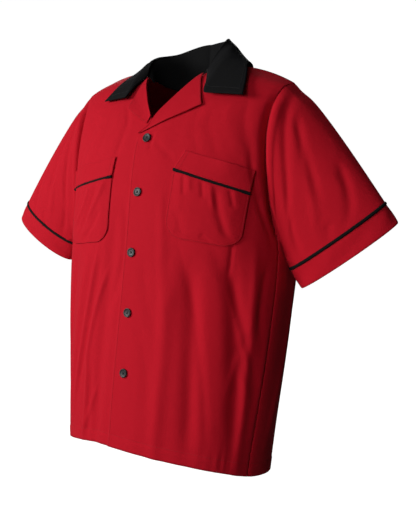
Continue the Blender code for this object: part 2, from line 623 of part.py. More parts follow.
def button(number, height, black):
    """A four-hole button with a raised rim, seated on the left front."""
    near = np.array([[0, 0], [-0.01, 0], [0.01, 0], [0, -0.01], [0, 0.01]])
    spot, west, east, below, above = front_points_at(1, near[:, 0], height + near[:, 1], SEAM)
    normal = unit(np.cross(east - west, above - below))
    up = unit(np.array((0, 0, 1.0)) - normal * normal[2])
    right = np.cross(up, normal)
    turn = np.linspace(0, 2 * math.pi, BUTTON_SIDES, endpoint=False)
    points = [spot]
    for radius, rise in BUTTON_PROFILE[1:-1]:
        circle = (np.cos(turn)[:, None] * right + np.sin(turn)[:, None] * up) * radius * BUTTON_RADIUS
        points.extend(spot + circle + normal * rise * BUTTON_DEPTH)
    points.append(spot + normal * BUTTON_PROFILE[-1].rise * BUTTON_DEPTH)
    rings = len(BUTTON_PROFILE) - 2
    nxt = np.roll(np.arange(BUTTON_SIDES), -1)
    faces = [(0, 1 + n, 1 + i) for i, n in enumerate(nxt)]
    for ring in range(rings - 1):
        low, high = 1 + ring * BUTTON_SIDES, 1 + (ring + 1) * BUTTON_SIDES
        faces += [(low + i, low + n, high + n, high + i) for i, n in enumerate(nxt)]
    last = 1 + (rings - 1) * BUTTON_SIDES
    faces += [(last + i, last + n, len(points) - 1) for i, n in enumerate(nxt)]
    mesh = bpy.data.meshes.new(f"button_{number}")
    mesh.from_pydata([tuple(p) for p in points], [], faces)
    piece = add_object(f"button_{number}", mesh, black)
    cut_holes(piece, spot, normal, right, up)
    mesh.shade_smooth()
    mesh.set_sharp_from_angle(angle=math.radians(40))


def cut_holes(piece, spot, normal, right, up):
    """Cut the four sewing holes through a button with hexagonal pins."""
    turn = np.linspace(0, 2 * math.pi, 6, endpoint=False)
    points, faces = [], []
    for a, b in ((1, 1), (-1, 1), (-1, -1), (1, -1)):
        centre = spot + (right * a + up * b) * HOLE_OFFSET
        start = len(points)
        for depth in (-0.5, 1.5):
            circle = (np.cos(turn)[:, None] * right + np.sin(turn)[:, None] * up) * HOLE_RADIUS
            points.extend(centre + circle + normal * depth * BUTTON_DEPTH)
        low, high = list(range(start, start + 6)), list(range(start + 6, start + 12))
        faces.append(low[::-1])
        faces.append(high)
        faces += [(low[i], low[(i + 1) % 6], high[(i + 1) % 6], high[i]) for i in range(6)]
    mesh = bpy.data.meshes.new(piece.name + "_holes")
    mesh.from_pydata([tuple(p) for p in points], [], faces)
    cutter = bpy.data.objects.new(piece.name + "_holes", mesh)
    cutter.hide_render = True
    cutter.display_type = "WIRE"
    bpy.context.scene.collection.objects.link(cutter)
    cut = piece.modifiers.new("holes", "BOOLEAN")
    cut.object = cutter
    cut.operation = "DIFFERENCE"
    cut.solver = "EXACT"


def main():
    """Build every piece of the shirt."""
    for item in list(bpy.data.objects):
        bpy.data.objects.remove(item, do_unlink=True)
    red = make_material("red_cloth", (0.42, 0.004, 0.014), 0.8)
    black = make_material("black_cloth", (0.012, 0.012, 0.013), 0.8)
    resin = make_material("black_resin", (0.010, 0.010, 0.011), 0.35)
    body_and_sleeves(red, black)
    collar(black)
    for side, name in ((1, "left"), (-1, "right")):
        lapel(side, name, red)
        pocket(side, name, red, black)
    for number, height in enumerate(BUTTON_HEIGHTS, start=1):
        button(number, height, resin)


main()
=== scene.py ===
"""Looks of a short-sleeved bowling shirt with a camp collar, filled out hollow as it is worn.

Every piece of cloth is a thin shell over the form that its solid has: rows of sizes give
each panel's inner and outer edge, arcs of rounded sections join them, and folds, creases
and puckers are soft ridges and troughs laid on top.  Metres, +Z up, the front faces -Y,
the wearer's left is +X and the origin is the middle of the shoulder line.
"""

from __future__ import annotations

import logging
import math
from dataclasses import dataclass, field
from enum import Enum
from typing import NamedTuple, Sequence

import bpy
import numpy as np
from mathutils import Matrix

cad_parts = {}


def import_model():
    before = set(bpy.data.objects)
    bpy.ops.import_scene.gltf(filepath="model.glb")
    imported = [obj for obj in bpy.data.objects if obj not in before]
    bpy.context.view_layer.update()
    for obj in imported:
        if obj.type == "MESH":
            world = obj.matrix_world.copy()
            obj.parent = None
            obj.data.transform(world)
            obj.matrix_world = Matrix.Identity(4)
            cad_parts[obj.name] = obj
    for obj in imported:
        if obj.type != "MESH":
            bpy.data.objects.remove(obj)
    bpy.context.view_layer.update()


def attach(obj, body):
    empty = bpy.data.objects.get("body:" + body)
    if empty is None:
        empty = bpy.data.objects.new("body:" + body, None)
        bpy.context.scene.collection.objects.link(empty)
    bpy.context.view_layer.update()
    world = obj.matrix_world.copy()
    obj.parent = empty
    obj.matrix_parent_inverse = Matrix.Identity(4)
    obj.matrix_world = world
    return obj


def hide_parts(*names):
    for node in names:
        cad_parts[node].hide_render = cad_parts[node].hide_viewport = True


log = logging.getLogger("bowling_shirt")
Array = np.ndarray

# ------------------------------------------------------------------ sizes
CLOTH = 0.0012             # wall of one panel in the CAD model
SEAM = 0.0003              # gap between neighbouring pieces
STANDOFF = CLOTH + SEAM    # how far a piece that lies on a panel is moved out
SHELL = 0.0007             # shown thickness of one layer of cloth
DOUBLE_SHELL = 0.0011      # shown thickness of two layers and their interlining
OVERLAP = 0.022            # the fronts reach this far past the centre line
BREAK_STATION = 0.528      # where the lapels start to turn out
ARMPIT_STATION, NECK_STATION, SHOULDER_STATION = 0.362, 0.608, 0.650
QUARTER_GIRTH = 0.275      # from the centre line round to the side seam
BUTTON_HEIGHTS = (-0.134, -0.224, -0.323, -0.422, -0.521)


class Side(Enum):
    """The wearer's two sides; the value is the sign of X."""

    LEFT = 1
    RIGHT = -1

    @property
    def word(self) -> str:
        """The side's name as nodes carry it."""
        return self.name.lower()


class Panel(Enum):
    """The body's two kinds of panel; the value is the sign of its outward turn."""

    FRONT = 1
    BACK = -1


class Row(NamedTuple):
    """One height of a panel: where it starts, where it ends and how far it turns."""

    station: float
    in_x: float
    in_y: float
    in_z: float
    out_x: float
    out_y: float
    out_z: float
    turn: float


FRONT_ROWS = (
    Row(0.000, 0.000, -0.150, -0.648, 0.199, -0.058, -0.671, 77),
    Row(0.120, 0.000, -0.150, -0.528, 0.210, -0.057, -0.552, 77),
    Row(0.240, 0.000, -0.150, -0.404, 0.216, -0.057, -0.426, 77),
    Row(0.330, 0.000, -0.149, -0.310, 0.216, -0.058, -0.322, 76),
    Row(0.362, 0.000, -0.147, -0.278, 0.213, -0.060, -0.286, 75),
    Row(0.395, 0.000, -0.143, -0.245, 0.207, -0.066, -0.250, 71),
    Row(0.440, 0.000, -0.135, -0.200, 0.2030, -0.069, -0.208, 66),
    Row(0.485, 0.000, -0.124, -0.155, 0.1990, -0.0705, -0.163, 60),
    Row(0.528, 0.000, -0.107, -0.108, 0.196, -0.067, -0.118, 52),
    Row(0.570, 0.026, -0.083, -0.066, 0.197, -0.053, -0.078, 42),
    Row(0.608, 0.053, -0.050, -0.027, 0.203, -0.030, -0.050, 30),
    Row(0.650, 0.072, 0.000, 0.000, 0.210, 0.000, -0.038, 16),
)
BACK_ROWS = (
    Row(0.000, 0.000, 0.092, -0.688, 0.199, -0.058, -0.671, 103),
    Row(0.120, 0.000, 0.099, -0.563, 0.210, -0.057, -0.552, 103),
    Row(0.240, 0.000, 0.107, -0.434, 0.216, -0.057, -0.426, 103),
    Row(0.330, 0.000, 0.116, -0.328, 0.216, -0.058, -0.322, 104),
    Row(0.362, 0.000, 0.120, -0.291, 0.213, -0.060, -0.286, 105),
    Row(0.395, 0.000, 0.124, -0.255, 0.221, -0.012, -0.272, 93),
    Row(0.440, 0.000, 0.126, -0.205, 0.210, 0.048, -0.228, 78),
    Row(0.485, 0.000, 0.125, -0.158, 0.202, 0.072, -0.170, 66),
    Row(0.528, 0.000, 0.118, -0.108, 0.197, 0.076, -0.118, 52),
    Row(0.570, 0.000, 0.104, -0.062, 0.198, 0.062, -0.080, 44),
    Row(0.608, 0.000, 0.080, -0.020, 0.203, 0.038, -0.052, 36),
    Row(0.628, 0.052, 0.052, -0.008, 0.207, 0.018, -0.043, 26),
    Row(0.650, 0.072, 0.000, 0.000, 0.210, 0.000, -0.038, 16),
)
PANEL_ROWS = {Panel.FRONT: FRONT_ROWS, Panel.BACK: BACK_ROWS}

LEAN = 0.025               # forward shift at the hem
TWIST = math.radians(-6)   # turn about the vertical at the hem
HANG_TOP, HANG_BOTTOM = -0.20, -0.70
FALL = 2.0                 # exponent of the fall in height from the inner to the outer edge
FULLNESS = 2.2             # exponent of the sections
RIGHT_SHOULDER_LIFT, RIGHT_HEM_DROP, SWAY = 0.008, 0.014, 0.008


class Opening(NamedTuple):
    """A sleeve's opening: top and under corner, half thickness, and its front edge's hang in degrees."""

    top: tuple[float, float, float]
    under: tuple[float, float, float]
    half_thickness: float
    tilt: float


SLEEVE_OPENINGS = {
    Side.LEFT: Opening((0.398, -0.018, -0.262), (0.253, -0.040, -0.370), 0.032, 19),
    Side.RIGHT: Opening((-0.386, -0.022, -0.272), (-0.240, -0.035, -0.354), 0.030, 6),
}
SLEEVE_START_PULL, SLEEVE_END_PULL = 0.16, 0.20
CROWN_PULL = np.array((0.46, 0.0, 0.08))
UNDER_PULL = np.array((0.30, -0.10, -0.60))
BAND_DEPTH = 0.036
PIPING_WIDTH = 0.0042
PIPING_SPREAD = 0.0006     # how far a piping's cord bulges over the cloth on each side


class Crease(NamedTuple):
    """A soft ridge (depth over 0) or trough along a line on a panel.

    girth is the distance round from the panel's inner edge and z the height, both in
    metres; bow is how far the line swings aside at its middle.
    """

    girth0: float
    z0: float
    girth1: float
    z1: float
    width: float
    depth: float
    bow: float = 0.0


# The largest folds of each panel, the same as its solid's.
LEFT_FOLDS = (
    Crease(0.066, -0.330, 0.075, -0.640, 0.013, 0.004),
    Crease(0.098, -0.320, 0.135, -0.610, 0.015, -0.006),
    Crease(0.165, -0.310, 0.225, -0.600, 0.016, -0.006),
    Crease(0.215, -0.300, 0.240, -0.640, 0.012, 0.004),
)
RIGHT_FOLDS = (
    Crease(0.045, -0.230, 0.060, -0.640, 0.013, -0.004),
    Crease(0.105, -0.310, 0.155, -0.600, 0.014, 0.004),
    Crease(0.150, -0.320, 0.210, -0.600, 0.014, -0.005),
)
BACK_FOLDS = (
    Crease(0.040, -0.200, 0.050, -0.640, 0.018, -0.005),
    Crease(0.120, -0.220, 0.130, -0.600, 0.018, 0.005),
    Crease(0.190, -0.240, 0.200, -0.620, 0.016, -0.005),
)
# Finer creases, each as long, deep and wide as the cloth shows it.
LEFT_CREASES = (
    Crease(0.045, -0.215, 0.062, -0.420, 0.0085, 0.0018, 0.004),
    Crease(0.072, -0.298, 0.163, -0.585, 0.0085, -0.0018, -0.006),
    Crease(0.124, -0.300, 0.252, -0.520, 0.0105, -0.0022, -0.008),
    Crease(0.150, -0.330, 0.235, -0.500, 0.0060, 0.0012, 0.004),
    Crease(0.170, -0.300, 0.167, -0.345, 0.0045, -0.0018),
    Crease(0.214, -0.440, 0.240, -0.520, 0.0120, -0.0024, 0.004),
    Crease(0.206, -0.470, 0.198, -0.530, 0.0080, 0.0018),
    Crease(0.248, -0.330, 0.244, -0.430, 0.0090, -0.0022, 0.006),
    Crease(0.262, -0.420, 0.264, -0.600, 0.0080, 0.0012, -0.004),
    Crease(0.096, -0.076, 0.112, -0.150, 0.0105, -0.0007, 0.003),
    Crease(0.128, -0.080, 0.158, -0.160, 0.0120, -0.0009, 0.004),
    Crease(0.165, -0.072, 0.200, -0.150, 0.0130, 0.0008, 0.004),
    Crease(0.208, -0.068, 0.238, -0.165, 0.0130, -0.0014, 0.004),
    Crease(0.232, -0.150, 0.252, -0.290, 0.0080, -0.0022, 0.006),
    Crease(0.020, -0.140, 0.060, -0.165, 0.0050, -0.0012),
    Crease(0.012, -0.120, 0.010, -0.150, 0.0045, -0.0012),
    Crease(0.020, -0.330, 0.048, -0.440, 0.0100, -0.0010, 0.006),
    Crease(0.018, -0.430, 0.050, -0.560, 0.0100, -0.0010, -0.006),
)
RIGHT_CREASES = (
    Crease(0.036, -0.232, 0.034, -0.392, 0.0085, -0.0026, 0.013),
    Crease(0.080, -0.305, 0.131, -0.568, 0.0050, 0.0028, 0.004),
    Crease(0.070, -0.320, 0.118, -0.560, 0.0060, -0.0016, 0.004),
    Crease(0.050, -0.342, 0.092, -0.505, 0.0050, 0.0027, -0.004),
    Crease(0.090, -0.490, 0.096, -0.640, 0.0050, 0.0026, 0.002),
    Crease(0.058, -0.545, 0.095, -0.634, 0.0050, 0.0018, 0.002),
    Crease(0.078, -0.520, 0.082, -0.640, 0.0060, -0.0018),
    Crease(0.066, -0.074, 0.073, -0.155, 0.0080, -0.0018, 0.002),
    Crease(0.120, -0.080, 0.140, -0.160, 0.0120, -0.0008, 0.004),
    Crease(0.170, -0.080, 0.215, -0.170, 0.0120, -0.0010, 0.004),
    Crease(0.215, -0.170, 0.245, -0.285, 0.0080, -0.0022, 0.006),
    Crease(0.200, -0.330, 0.232, -0.560, 0.0090, -0.0026, 0.006),
)
BACK_CREASES = (
    Crease(0.010, -0.110, 0.022, -0.300, 0.0110, -0.0014, 0.006),
    Crease(0.075, -0.120, 0.086, -0.420, 0.0100, 0.0018, 0.008),
    Crease(0.130, -0.140, 0.200, -0.300, 0.0100, -0.0024, 0.010),
    Crease(0.170, -0.120, 0.228, -0.270, 0.0080, -0.0022, 0.008),
    Crease(0.150, -0.400, 0.172, -0.620, 0.0090, -0.0022, -0.006),
    Crease(0.085, -0.470, 0.078, -0.650, 0.0080, 0.0020, 0.003),
    Crease(0.232, -0.330, 0.238, -0.600, 0.0080, 0.0022, 0.006),
    Crease(0.020, -0.520, 0.018, -0.660, 0.0090, -0.0018),
)
# On a sleeve girth runs round from the underarm up the front, z down from the armhole.
SLEEVE_GIRTH, SLEEVE_FALL = 0.50, 0.28
SLEEVE_CREASES = (
    Crease(0.205, -0.030, 0.085, -0.104, 0.0120, -0.0034, 0.010),
    Crease(0.182, -0.058, 0.131, -0.150, 0.0085, -0.0032, 0.006),
    Crease(0.160, -0.090, 0.105, -0.190, 0.0070, 0.0016, 0.006),
    Crease(0.181, -0.150, 0.142, -0.222, 0.0080, -0.0034, -0.005),
    Crease(0.120, -0.200, 0.106, -0.232, 0.0060, -0.0024),
    Crease(0.076, -0.120, 0.066, -0.220, 0.0080, -0.0022, 0.006),
    Crease(0.008, -0.168, 0.050, -0.232, 0.0055, 0.0024, -0.004),
    Crease(0.290, -0.030, 0.392, -0.110, 0.0100, -0.0040, -0.010),
    Crease(0.322, -0.070, 0.372, -0.170, 0.0090, -0.0030, -0.006),
    Crease(0.440, -0.060, 0.410, -0.200, 0.0090, -0.0026, 0.006),
    Crease(0.345, -0.180, 0.372, -0.236, 0.0070, -0.0022),
)
# On a pocket girth runs across from its inner side and z down from its mouth.
LEFT_POCKET_CREASES = (
    Crease(0.019, 0.000, 0.024, -0.030, 0.0040, -0.0016),
    Crease(0.030, 0.000, 0.034, -0.022, 0.0040, 0.0012),
    Crease(0.051, 0.000, 0.056, -0.026, 0.0040, -0.0016),
    Crease(0.064, 0.000, 0.074, -0.040, 0.0045, 0.0014),
    Crease(0.074, -0.002, 0.100, -0.086, 0.0065, -0.0026, 0.004),
    Crease(0.094, 0.000, 0.102, -0.030, 0.0040, -0.0016),
    Crease(0.016, -0.060, 0.030, -0.096, 0.0080, -0.0012),
    Crease(0.060, -0.092, 0.078, -0.106, 0.0050, -0.0012),
)
RIGHT_POCKET_CREASES = (
    Crease(0.014, -0.002, 0.050, -0.062, 0.0055, 0.0024, 0.003),
    Crease(0.034, -0.002, 0.070, -0.080, 0.0055, -0.0022, 0.003),
    Crease(0.052, -0.002, 0.090, -0.070, 0.0055, 0.0022, 0.004),
    Crease(0.020, -0.050, 0.060, -0.100, 0.0060, -0.0018, 0.003),
    Crease(0.082, -0.004, 0.104, -0.050, 0.0050, -0.0016),
)

HEM_DEPTH = 0.021          # from the hem up to its stitches
ARMHOLE_SINK = 0.0075      # how deep the front sinks where the sleeve folds over its seam
NARROWEST_CUT = 0.010      # the least size a cut is declared at; a piping shows less of itself
STITCH_LIFT = 0.0001       # how far a stitch line lies off its cloth
LAID_LIFT = 0.0006         # extra room under a lapel or pocket laid on a front
STITCH_LENGTH, STITCH_GAP, STITCH_RADIUS = 0.0021, 0.0010, 0.00032


# ------------------------------------------------------------------ the form
def interpolate(rows: Sequence[Sequence[float]], stations: Array) -> Array:
    """Cubic through a table's rows: each column follows its values with even slopes.

    Args:
        rows: a table whose first column is the station.
        stations: where the other columns are wanted.

    Returns:
        An array with the stations' shape and one last axis for the columns.
    """
    table = np.array(rows, dtype=float)
    knots, values = table[:, 0], table[:, 1:]
    slopes = np.gradient(values, knots, axis=0)
    t = np.clip(np.asarray(stations, dtype=float), knots[0], knots[-1])
    i = np.clip(np.searchsorted(knots, t, side="right") - 1, 0, len(knots) - 2)
    step = (knots[i + 1] - knots[i])[..., None]
    u = ((t - knots[i]) / step[..., 0])[..., None]
    return hermite(u, values[i], step * slopes[i], values[i + 1], step * slopes[i + 1])


def hermite(u: Array, start: Array, start_slope: Array, end: Array, end_slope: Array) -> Array:
    """The cubic from start to end at shares u, with a given slope at each end."""
    return ((2 * u**3 - 3 * u**2 + 1) * start + (u**3 - 2 * u**2 + u) * start_slope
            + (3 * u**2 - 2 * u**3) * end + (u**3 - u**2) * end_slope)


def smoothstep(low: float, high: float, value: Array) -> Array:
    """0 below low, 1 above high, and 3u^2 - 2u^3 between them."""
    u = np.clip((np.asarray(value, dtype=float) - low) / (high - low), 0.0, 1.0)
    return u * u * (3 - 2 * u)


def unit(vectors: Array) -> Array:
    """The same directions at length one."""
    return vectors / np.maximum(np.linalg.norm(vectors, axis=-1, keepdims=True), 1e-12)


def hang(points: Array) -> Array:
    """The lower part swings forward and turns about the vertical, more towards the hem.

    Args:
        points: positions as cut, any shape with a last axis of three.

    Returns:
        The positions as the shirt hangs.
    """
    height = points[..., 2]
    share = smoothstep(-HANG_TOP, -HANG_BOTTOM, -height)
    angle = TWIST * share
    x = points[..., 0] * np.cos(angle) - points[..., 1] * np.sin(angle)
    y = points[..., 0] * np.sin(angle) + points[..., 1] * np.cos(angle) - LEAN * share
    x = x + SWAY * smoothstep(0.14, 0.32, -height)
    right = smoothstep(0.03, 0.20, -x)
    lift = RIGHT_SHOULDER_LIFT * smoothstep(-0.22, -0.05, height) * right
    drop = RIGHT_HEM_DROP * smoothstep(0.35, 0.70, -height) * right
    return np.stack([x, y, height + lift - drop], axis=-1)


def form(panel: Panel, side: Side, across: Array, stations: Array) -> Array:
    """Points of a panel: an arc of a rounded section from its inner to its outer edge.

    x goes as the sine of the turned angle, y as the rounded section's depth there, and z
    falls with the square of the share across.

    Args:
        panel: front or back.
        side: the wearer's side.
        across: 0 at the inner edge, 1 at the outer edge.
        stations: distance above the hem.

    Returns:
        The points, without folds.
    """
    across, stations = np.broadcast_arrays(across, stations)
    row = interpolate(PANEL_ROWS[panel], stations)
    turn = np.radians(row[..., 6])

    def depth(angle: Array) -> Array:
        rounded = np.maximum(1 - np.abs(np.sin(angle)) ** FULLNESS, 0) ** (1 / FULLNESS)
        return 1 - np.sign(np.cos(angle)) * rounded

    along = np.sin(across * turn) / np.sin(turn)
    inner_x = np.maximum(row[..., 0], 0)
    x = inner_x + (row[..., 3] - inner_x) * along
    y = row[..., 1] + (row[..., 4] - row[..., 1]) * depth(across * turn) / depth(turn)
    z = row[..., 2] + (row[..., 5] - row[..., 2]) * np.abs(across) ** FALL
    return hang(np.stack([side.value * x, y, z], axis=-1))


def crease_height(creases: Sequence[Crease], girth: Array, height: Array) -> Array:
    """Sum of bell-shaped ridges and troughs that fade out towards both their ends.

    Args:
        creases: the lines, in the panel's own girth and height.
        girth: distance round at each point.
        height: height at each point.

    Returns:
        How far the cloth is raised at each point.
    """
    total = np.zeros(np.shape(girth))
    for crease in creases:
        run = np.array((crease.girth1 - crease.girth0, crease.z1 - crease.z0))
        length = np.hypot(*run)
        u = ((girth - crease.girth0) * run[0] + (height - crease.z0) * run[1]) / length**2
        aside = ((girth - crease.girth0) * run[1] - (height - crease.z0) * run[0]) / length
        aside = aside - crease.bow * 4 * u * (1 - u)
        ends = smoothstep(-0.05, 0.25, u) * (1 - smoothstep(0.85, 1.25, u))
        total += crease.depth * ends * np.exp(-(aside / crease.width) ** 2)
    return total


def across_at_overlap(stations: Array) -> Array:
    """The across value of a front's free edge: past the centre line, then on the roll."""
    row = interpolate(FRONT_ROWS, stations)
    turn = np.radians(row[..., 6])
    reach = OVERLAP * (1 - smoothstep(BREAK_STATION - 0.022, BREAK_STATION, stations))
    return -np.arcsin(reach * np.sin(turn) / row[..., 3]) / turn


def hem_pucker(girth: Array, above_hem: Array) -> Array:
    """Uneven little ridges that the hem's stitches gather, fading out above them."""
    wave = (np.sin(girth * 470 + 3.4 * np.sin(girth * 53)) * 0.45
            + np.sin(girth * 211 + 2.2 * np.sin(girth * 89)) * 0.55)
    wave = wave * (0.55 + 0.45 * np.sin(girth * 37 + 1.1))
    patchy = 0.25 + 0.75 * smoothstep(0.12, 0.19, girth) * (1 - 0.5 * smoothstep(0.24, 0.27, girth))
    fade = np.exp(-((above_hem - HEM_DEPTH * 0.8) / 0.019) ** 2)
    return 0.00046 * wave * patchy * fade


def hem_fold(above_hem: Array) -> Array:
    """The turned hem stands a little proud below a stitched groove."""
    proud = 0.00075 * (1 - smoothstep(HEM_DEPTH, HEM_DEPTH + 0.003, above_hem))
    groove = -0.0010 * np.exp(-((above_hem - HEM_DEPTH) / 0.0015) ** 2)
    return proud + groove


def seam_dip(distance: Array, depth: float = 0.0012, width: float = 0.0035) -> Array:
    """The cloth sinks towards a seam: a bell on the distance from it."""
    return -depth * np.exp(-(distance / width) ** 2)


def seam_pucker(distance: Array, along: Array, size: float = 0.0006) -> Array:
    """Small uneven waves that a seam's thread draws up, fading away from it."""
    wave = np.sin(along * 430 + 1.9 * np.sin(along * 61)) * (0.6 + 0.4 * np.sin(along * 23))
    return size * wave * np.exp(-(distance / 0.012) ** 2)


LARGE_FOLDS = {(Panel.FRONT, Side.LEFT): LEFT_FOLDS, (Panel.FRONT, Side.RIGHT): RIGHT_FOLDS,
               (Panel.BACK, Side.LEFT): BACK_FOLDS, (Panel.BACK, Side.RIGHT): BACK_FOLDS}
FINE_CREASES = {(Panel.FRONT, Side.LEFT): LEFT_CREASES, (Panel.FRONT, Side.RIGHT): RIGHT_CREASES,
                (Panel.BACK, Side.LEFT): BACK_CREASES, (Panel.BACK, Side.RIGHT): BACK_CREASES}


def panel_points(panel: Panel, side: Side, across: Array, stations: Array,
                 lift: Array | float = 0.0, fine: bool = True) -> Array:
    """Outer points of a panel with its folds, moved out along the panel's normal.

    Args:
        panel: front or back.
        side: the wearer's side.
        across: 0 at the inner edge, 1 at the outer edge.
        stations: distance above the hem.
        lift: extra distance outwards.
        fine: whether the finer creases, seams and hem are laid on as well.

    Returns:
        The points.
    """
    across, stations, lift = np.broadcast_arrays(across, stations, lift)
    step = 1e-4
    here = form(panel, side, across, stations)
    along = form(panel, side, across + step, stations) - form(panel, side, across - step, stations)
    low, high = np.maximum(stations - step, 0), np.minimum(stations + step, SHOULDER_STATION)
    up = form(panel, side, across, high) - form(panel, side, across, low)
    normal = unit(np.cross(along, up)) * side.value * panel.value
    girth, height = across * QUARTER_GIRTH, here[..., 2]
    out = lift + crease_height(LARGE_FOLDS[panel, side], girth, height)
    if panel is Panel.FRONT and side is Side.LEFT:
        near_centre = 1 - smoothstep(0.10, 0.28, across)
        out = out + (STANDOFF + SEAM) * near_centre * (1 - smoothstep(0.53, 0.60, stations))
    if fine:
        out = out + crease_height(FINE_CREASES[panel, side], girth, height)
        out = out + hem_fold(stations) + hem_pucker(girth, stations)
        to_seam = QUARTER_GIRTH * (1 - across)
        shown = 1 - 0.8 * smoothstep(0.56, 0.62, stations)
        out = out + (seam_dip(to_seam) + seam_pucker(to_seam, stations)) * shown
        if panel is Panel.FRONT:
            at_armhole = smoothstep(0.34, 0.38, stations) * (1 - smoothstep(0.53, 0.62, stations))
            out = out - ARMHOLE_SINK * at_armhole * np.exp(-(to_seam / 0.014) ** 2)
    return here + normal * out[..., None]


def front_points_at(side: Side, x: Array, height: Array, lift: Array | float) -> Array:
    """Points on a front's outer face over given x and height, found by Newton steps.

    Args:
        side: the wearer's side.
        x: distance from the centre line, across the view from the front.
        height: the wanted z.
        lift: distance out from the face.

    Returns:
        The points.
    """
    x, height = np.broadcast_arrays(np.asarray(x, dtype=float), np.asarray(height, dtype=float))
    across = np.clip(np.abs(x) / 0.25, 0.05, 1.0) * np.sign(x + 1e-9)
    stations = np.clip(height + 0.63, 0.02, 0.62)
    step = 1e-4
    for _ in range(12):
        here = form(Panel.FRONT, side, across, stations)
        d_across = (form(Panel.FRONT, side, across + step, stations) - here) / step
        d_station = (form(Panel.FRONT, side, across, stations + step) - here) / step
        miss_x, miss_z = side.value * x - here[..., 0], height - here[..., 2]
        det = d_across[..., 0] * d_station[..., 2] - d_across[..., 2] * d_station[..., 0]
        move_across = (miss_x * d_station[..., 2] - miss_z * d_station[..., 0]) / det
        move_station = (d_across[..., 0] * miss_z - d_across[..., 2] * miss_x) / det
        across = across + np.clip(move_across, -0.2, 0.2)
        stations = np.clip(stations + np.clip(move_station, -0.05, 0.05), 0.0, SHOULDER_STATION - 2e-4)
    return panel_points(Panel.FRONT, side, across, stations, lift)


def sleeve_form(side: Side, ring: Array, along: Array) -> Array:
    """A cubic loft from the armhole's ring to the sleeve's flattened round opening.

    Args:
        side: the wearer's side.
        ring: the armhole's points, from the underarm up the front and down the back.
        along: 0 at the armhole to 1 at the opening, a column or one row for each level.

    Returns:
        A grid with a row for each value of along.
    """
    opening = SLEEVE_OPENINGS[side]
    top, under = np.array(opening.top), np.array(opening.under)
    reach = (top - under) / 2
    outward = unit(np.cross(reach, (0, -1, 0))) * side.value
    tilt = math.radians(opening.tilt)
    front = np.array((0, -math.cos(tilt), 0)) + outward * math.sin(tilt)
    front = front * opening.half_thickness
    steps = np.linalg.norm(np.diff(np.vstack([ring, ring[:1]]), axis=0), axis=1)
    crown = len(ring) // 2
    share = np.concatenate([[0], np.cumsum(steps)])
    turn = np.where(np.arange(len(ring)) <= crown, share[:-1] / share[crown],
                    1 + (share[:-1] - share[crown]) / (share[-1] - share[crown])) * math.pi
    end = (top + under) / 2 - np.cos(turn)[:, None] * reach + np.sin(turn)[:, None] * front
    chord = end - ring
    crown_share = (1 - np.cos(turn))[:, None] / 2
    pull = (crown_share * CROWN_PULL + (1 - crown_share) * UNDER_PULL) * (side.value, 1, 1)
    start_pull = unit(unit(chord) + pull) * SLEEVE_START_PULL
    end_pull = outward * SLEEVE_END_PULL
    u = np.asarray(along, dtype=float)[..., None]
    return hermite(u, ring, start_pull, end, end_pull)


# ------------------------------------------------------------------ surfaces
def grid_normals(grid: Array, closed: bool = False) -> Array:
    """Unit normals of a grid of points, along cross up; closed joins its last column to its first."""
    if closed:
        ring = np.concatenate([grid[:, -1:], grid, grid[:, :1]], axis=1)
        along = (ring[:, 2:] - ring[:, :-2]) / 2
    else:
        along = np.gradient(grid, axis=1)
    return unit(np.cross(along, np.gradient(grid, axis=0)))


def lengths(points: Array) -> Array:
    """Distance along a line of points, from 0 at its first."""
    return np.concatenate([[0.0], np.cumsum(np.linalg.norm(np.diff(points, axis=0), axis=1))])


def read_along(spots: Array, at: Array, line: Array) -> Array:
    """A line's points at distances spots, where at holds the distances of its own points."""
    return np.stack([np.interp(spots, at, line[:, k]) for k in range(3)], axis=-1)


def wrapped(grid: Array) -> Array:
    """A grid whose first column comes again after its last, so that it closes round."""
    return np.concatenate([grid, grid[:, :1]], axis=1)


def quads(index: Array) -> Array:
    """Quads over a grid of point numbers."""
    corners = index[:-1, :-1], index[:-1, 1:], index[1:, 1:], index[1:, :-1]
    return np.stack(corners, axis=-1).reshape(-1, 4)


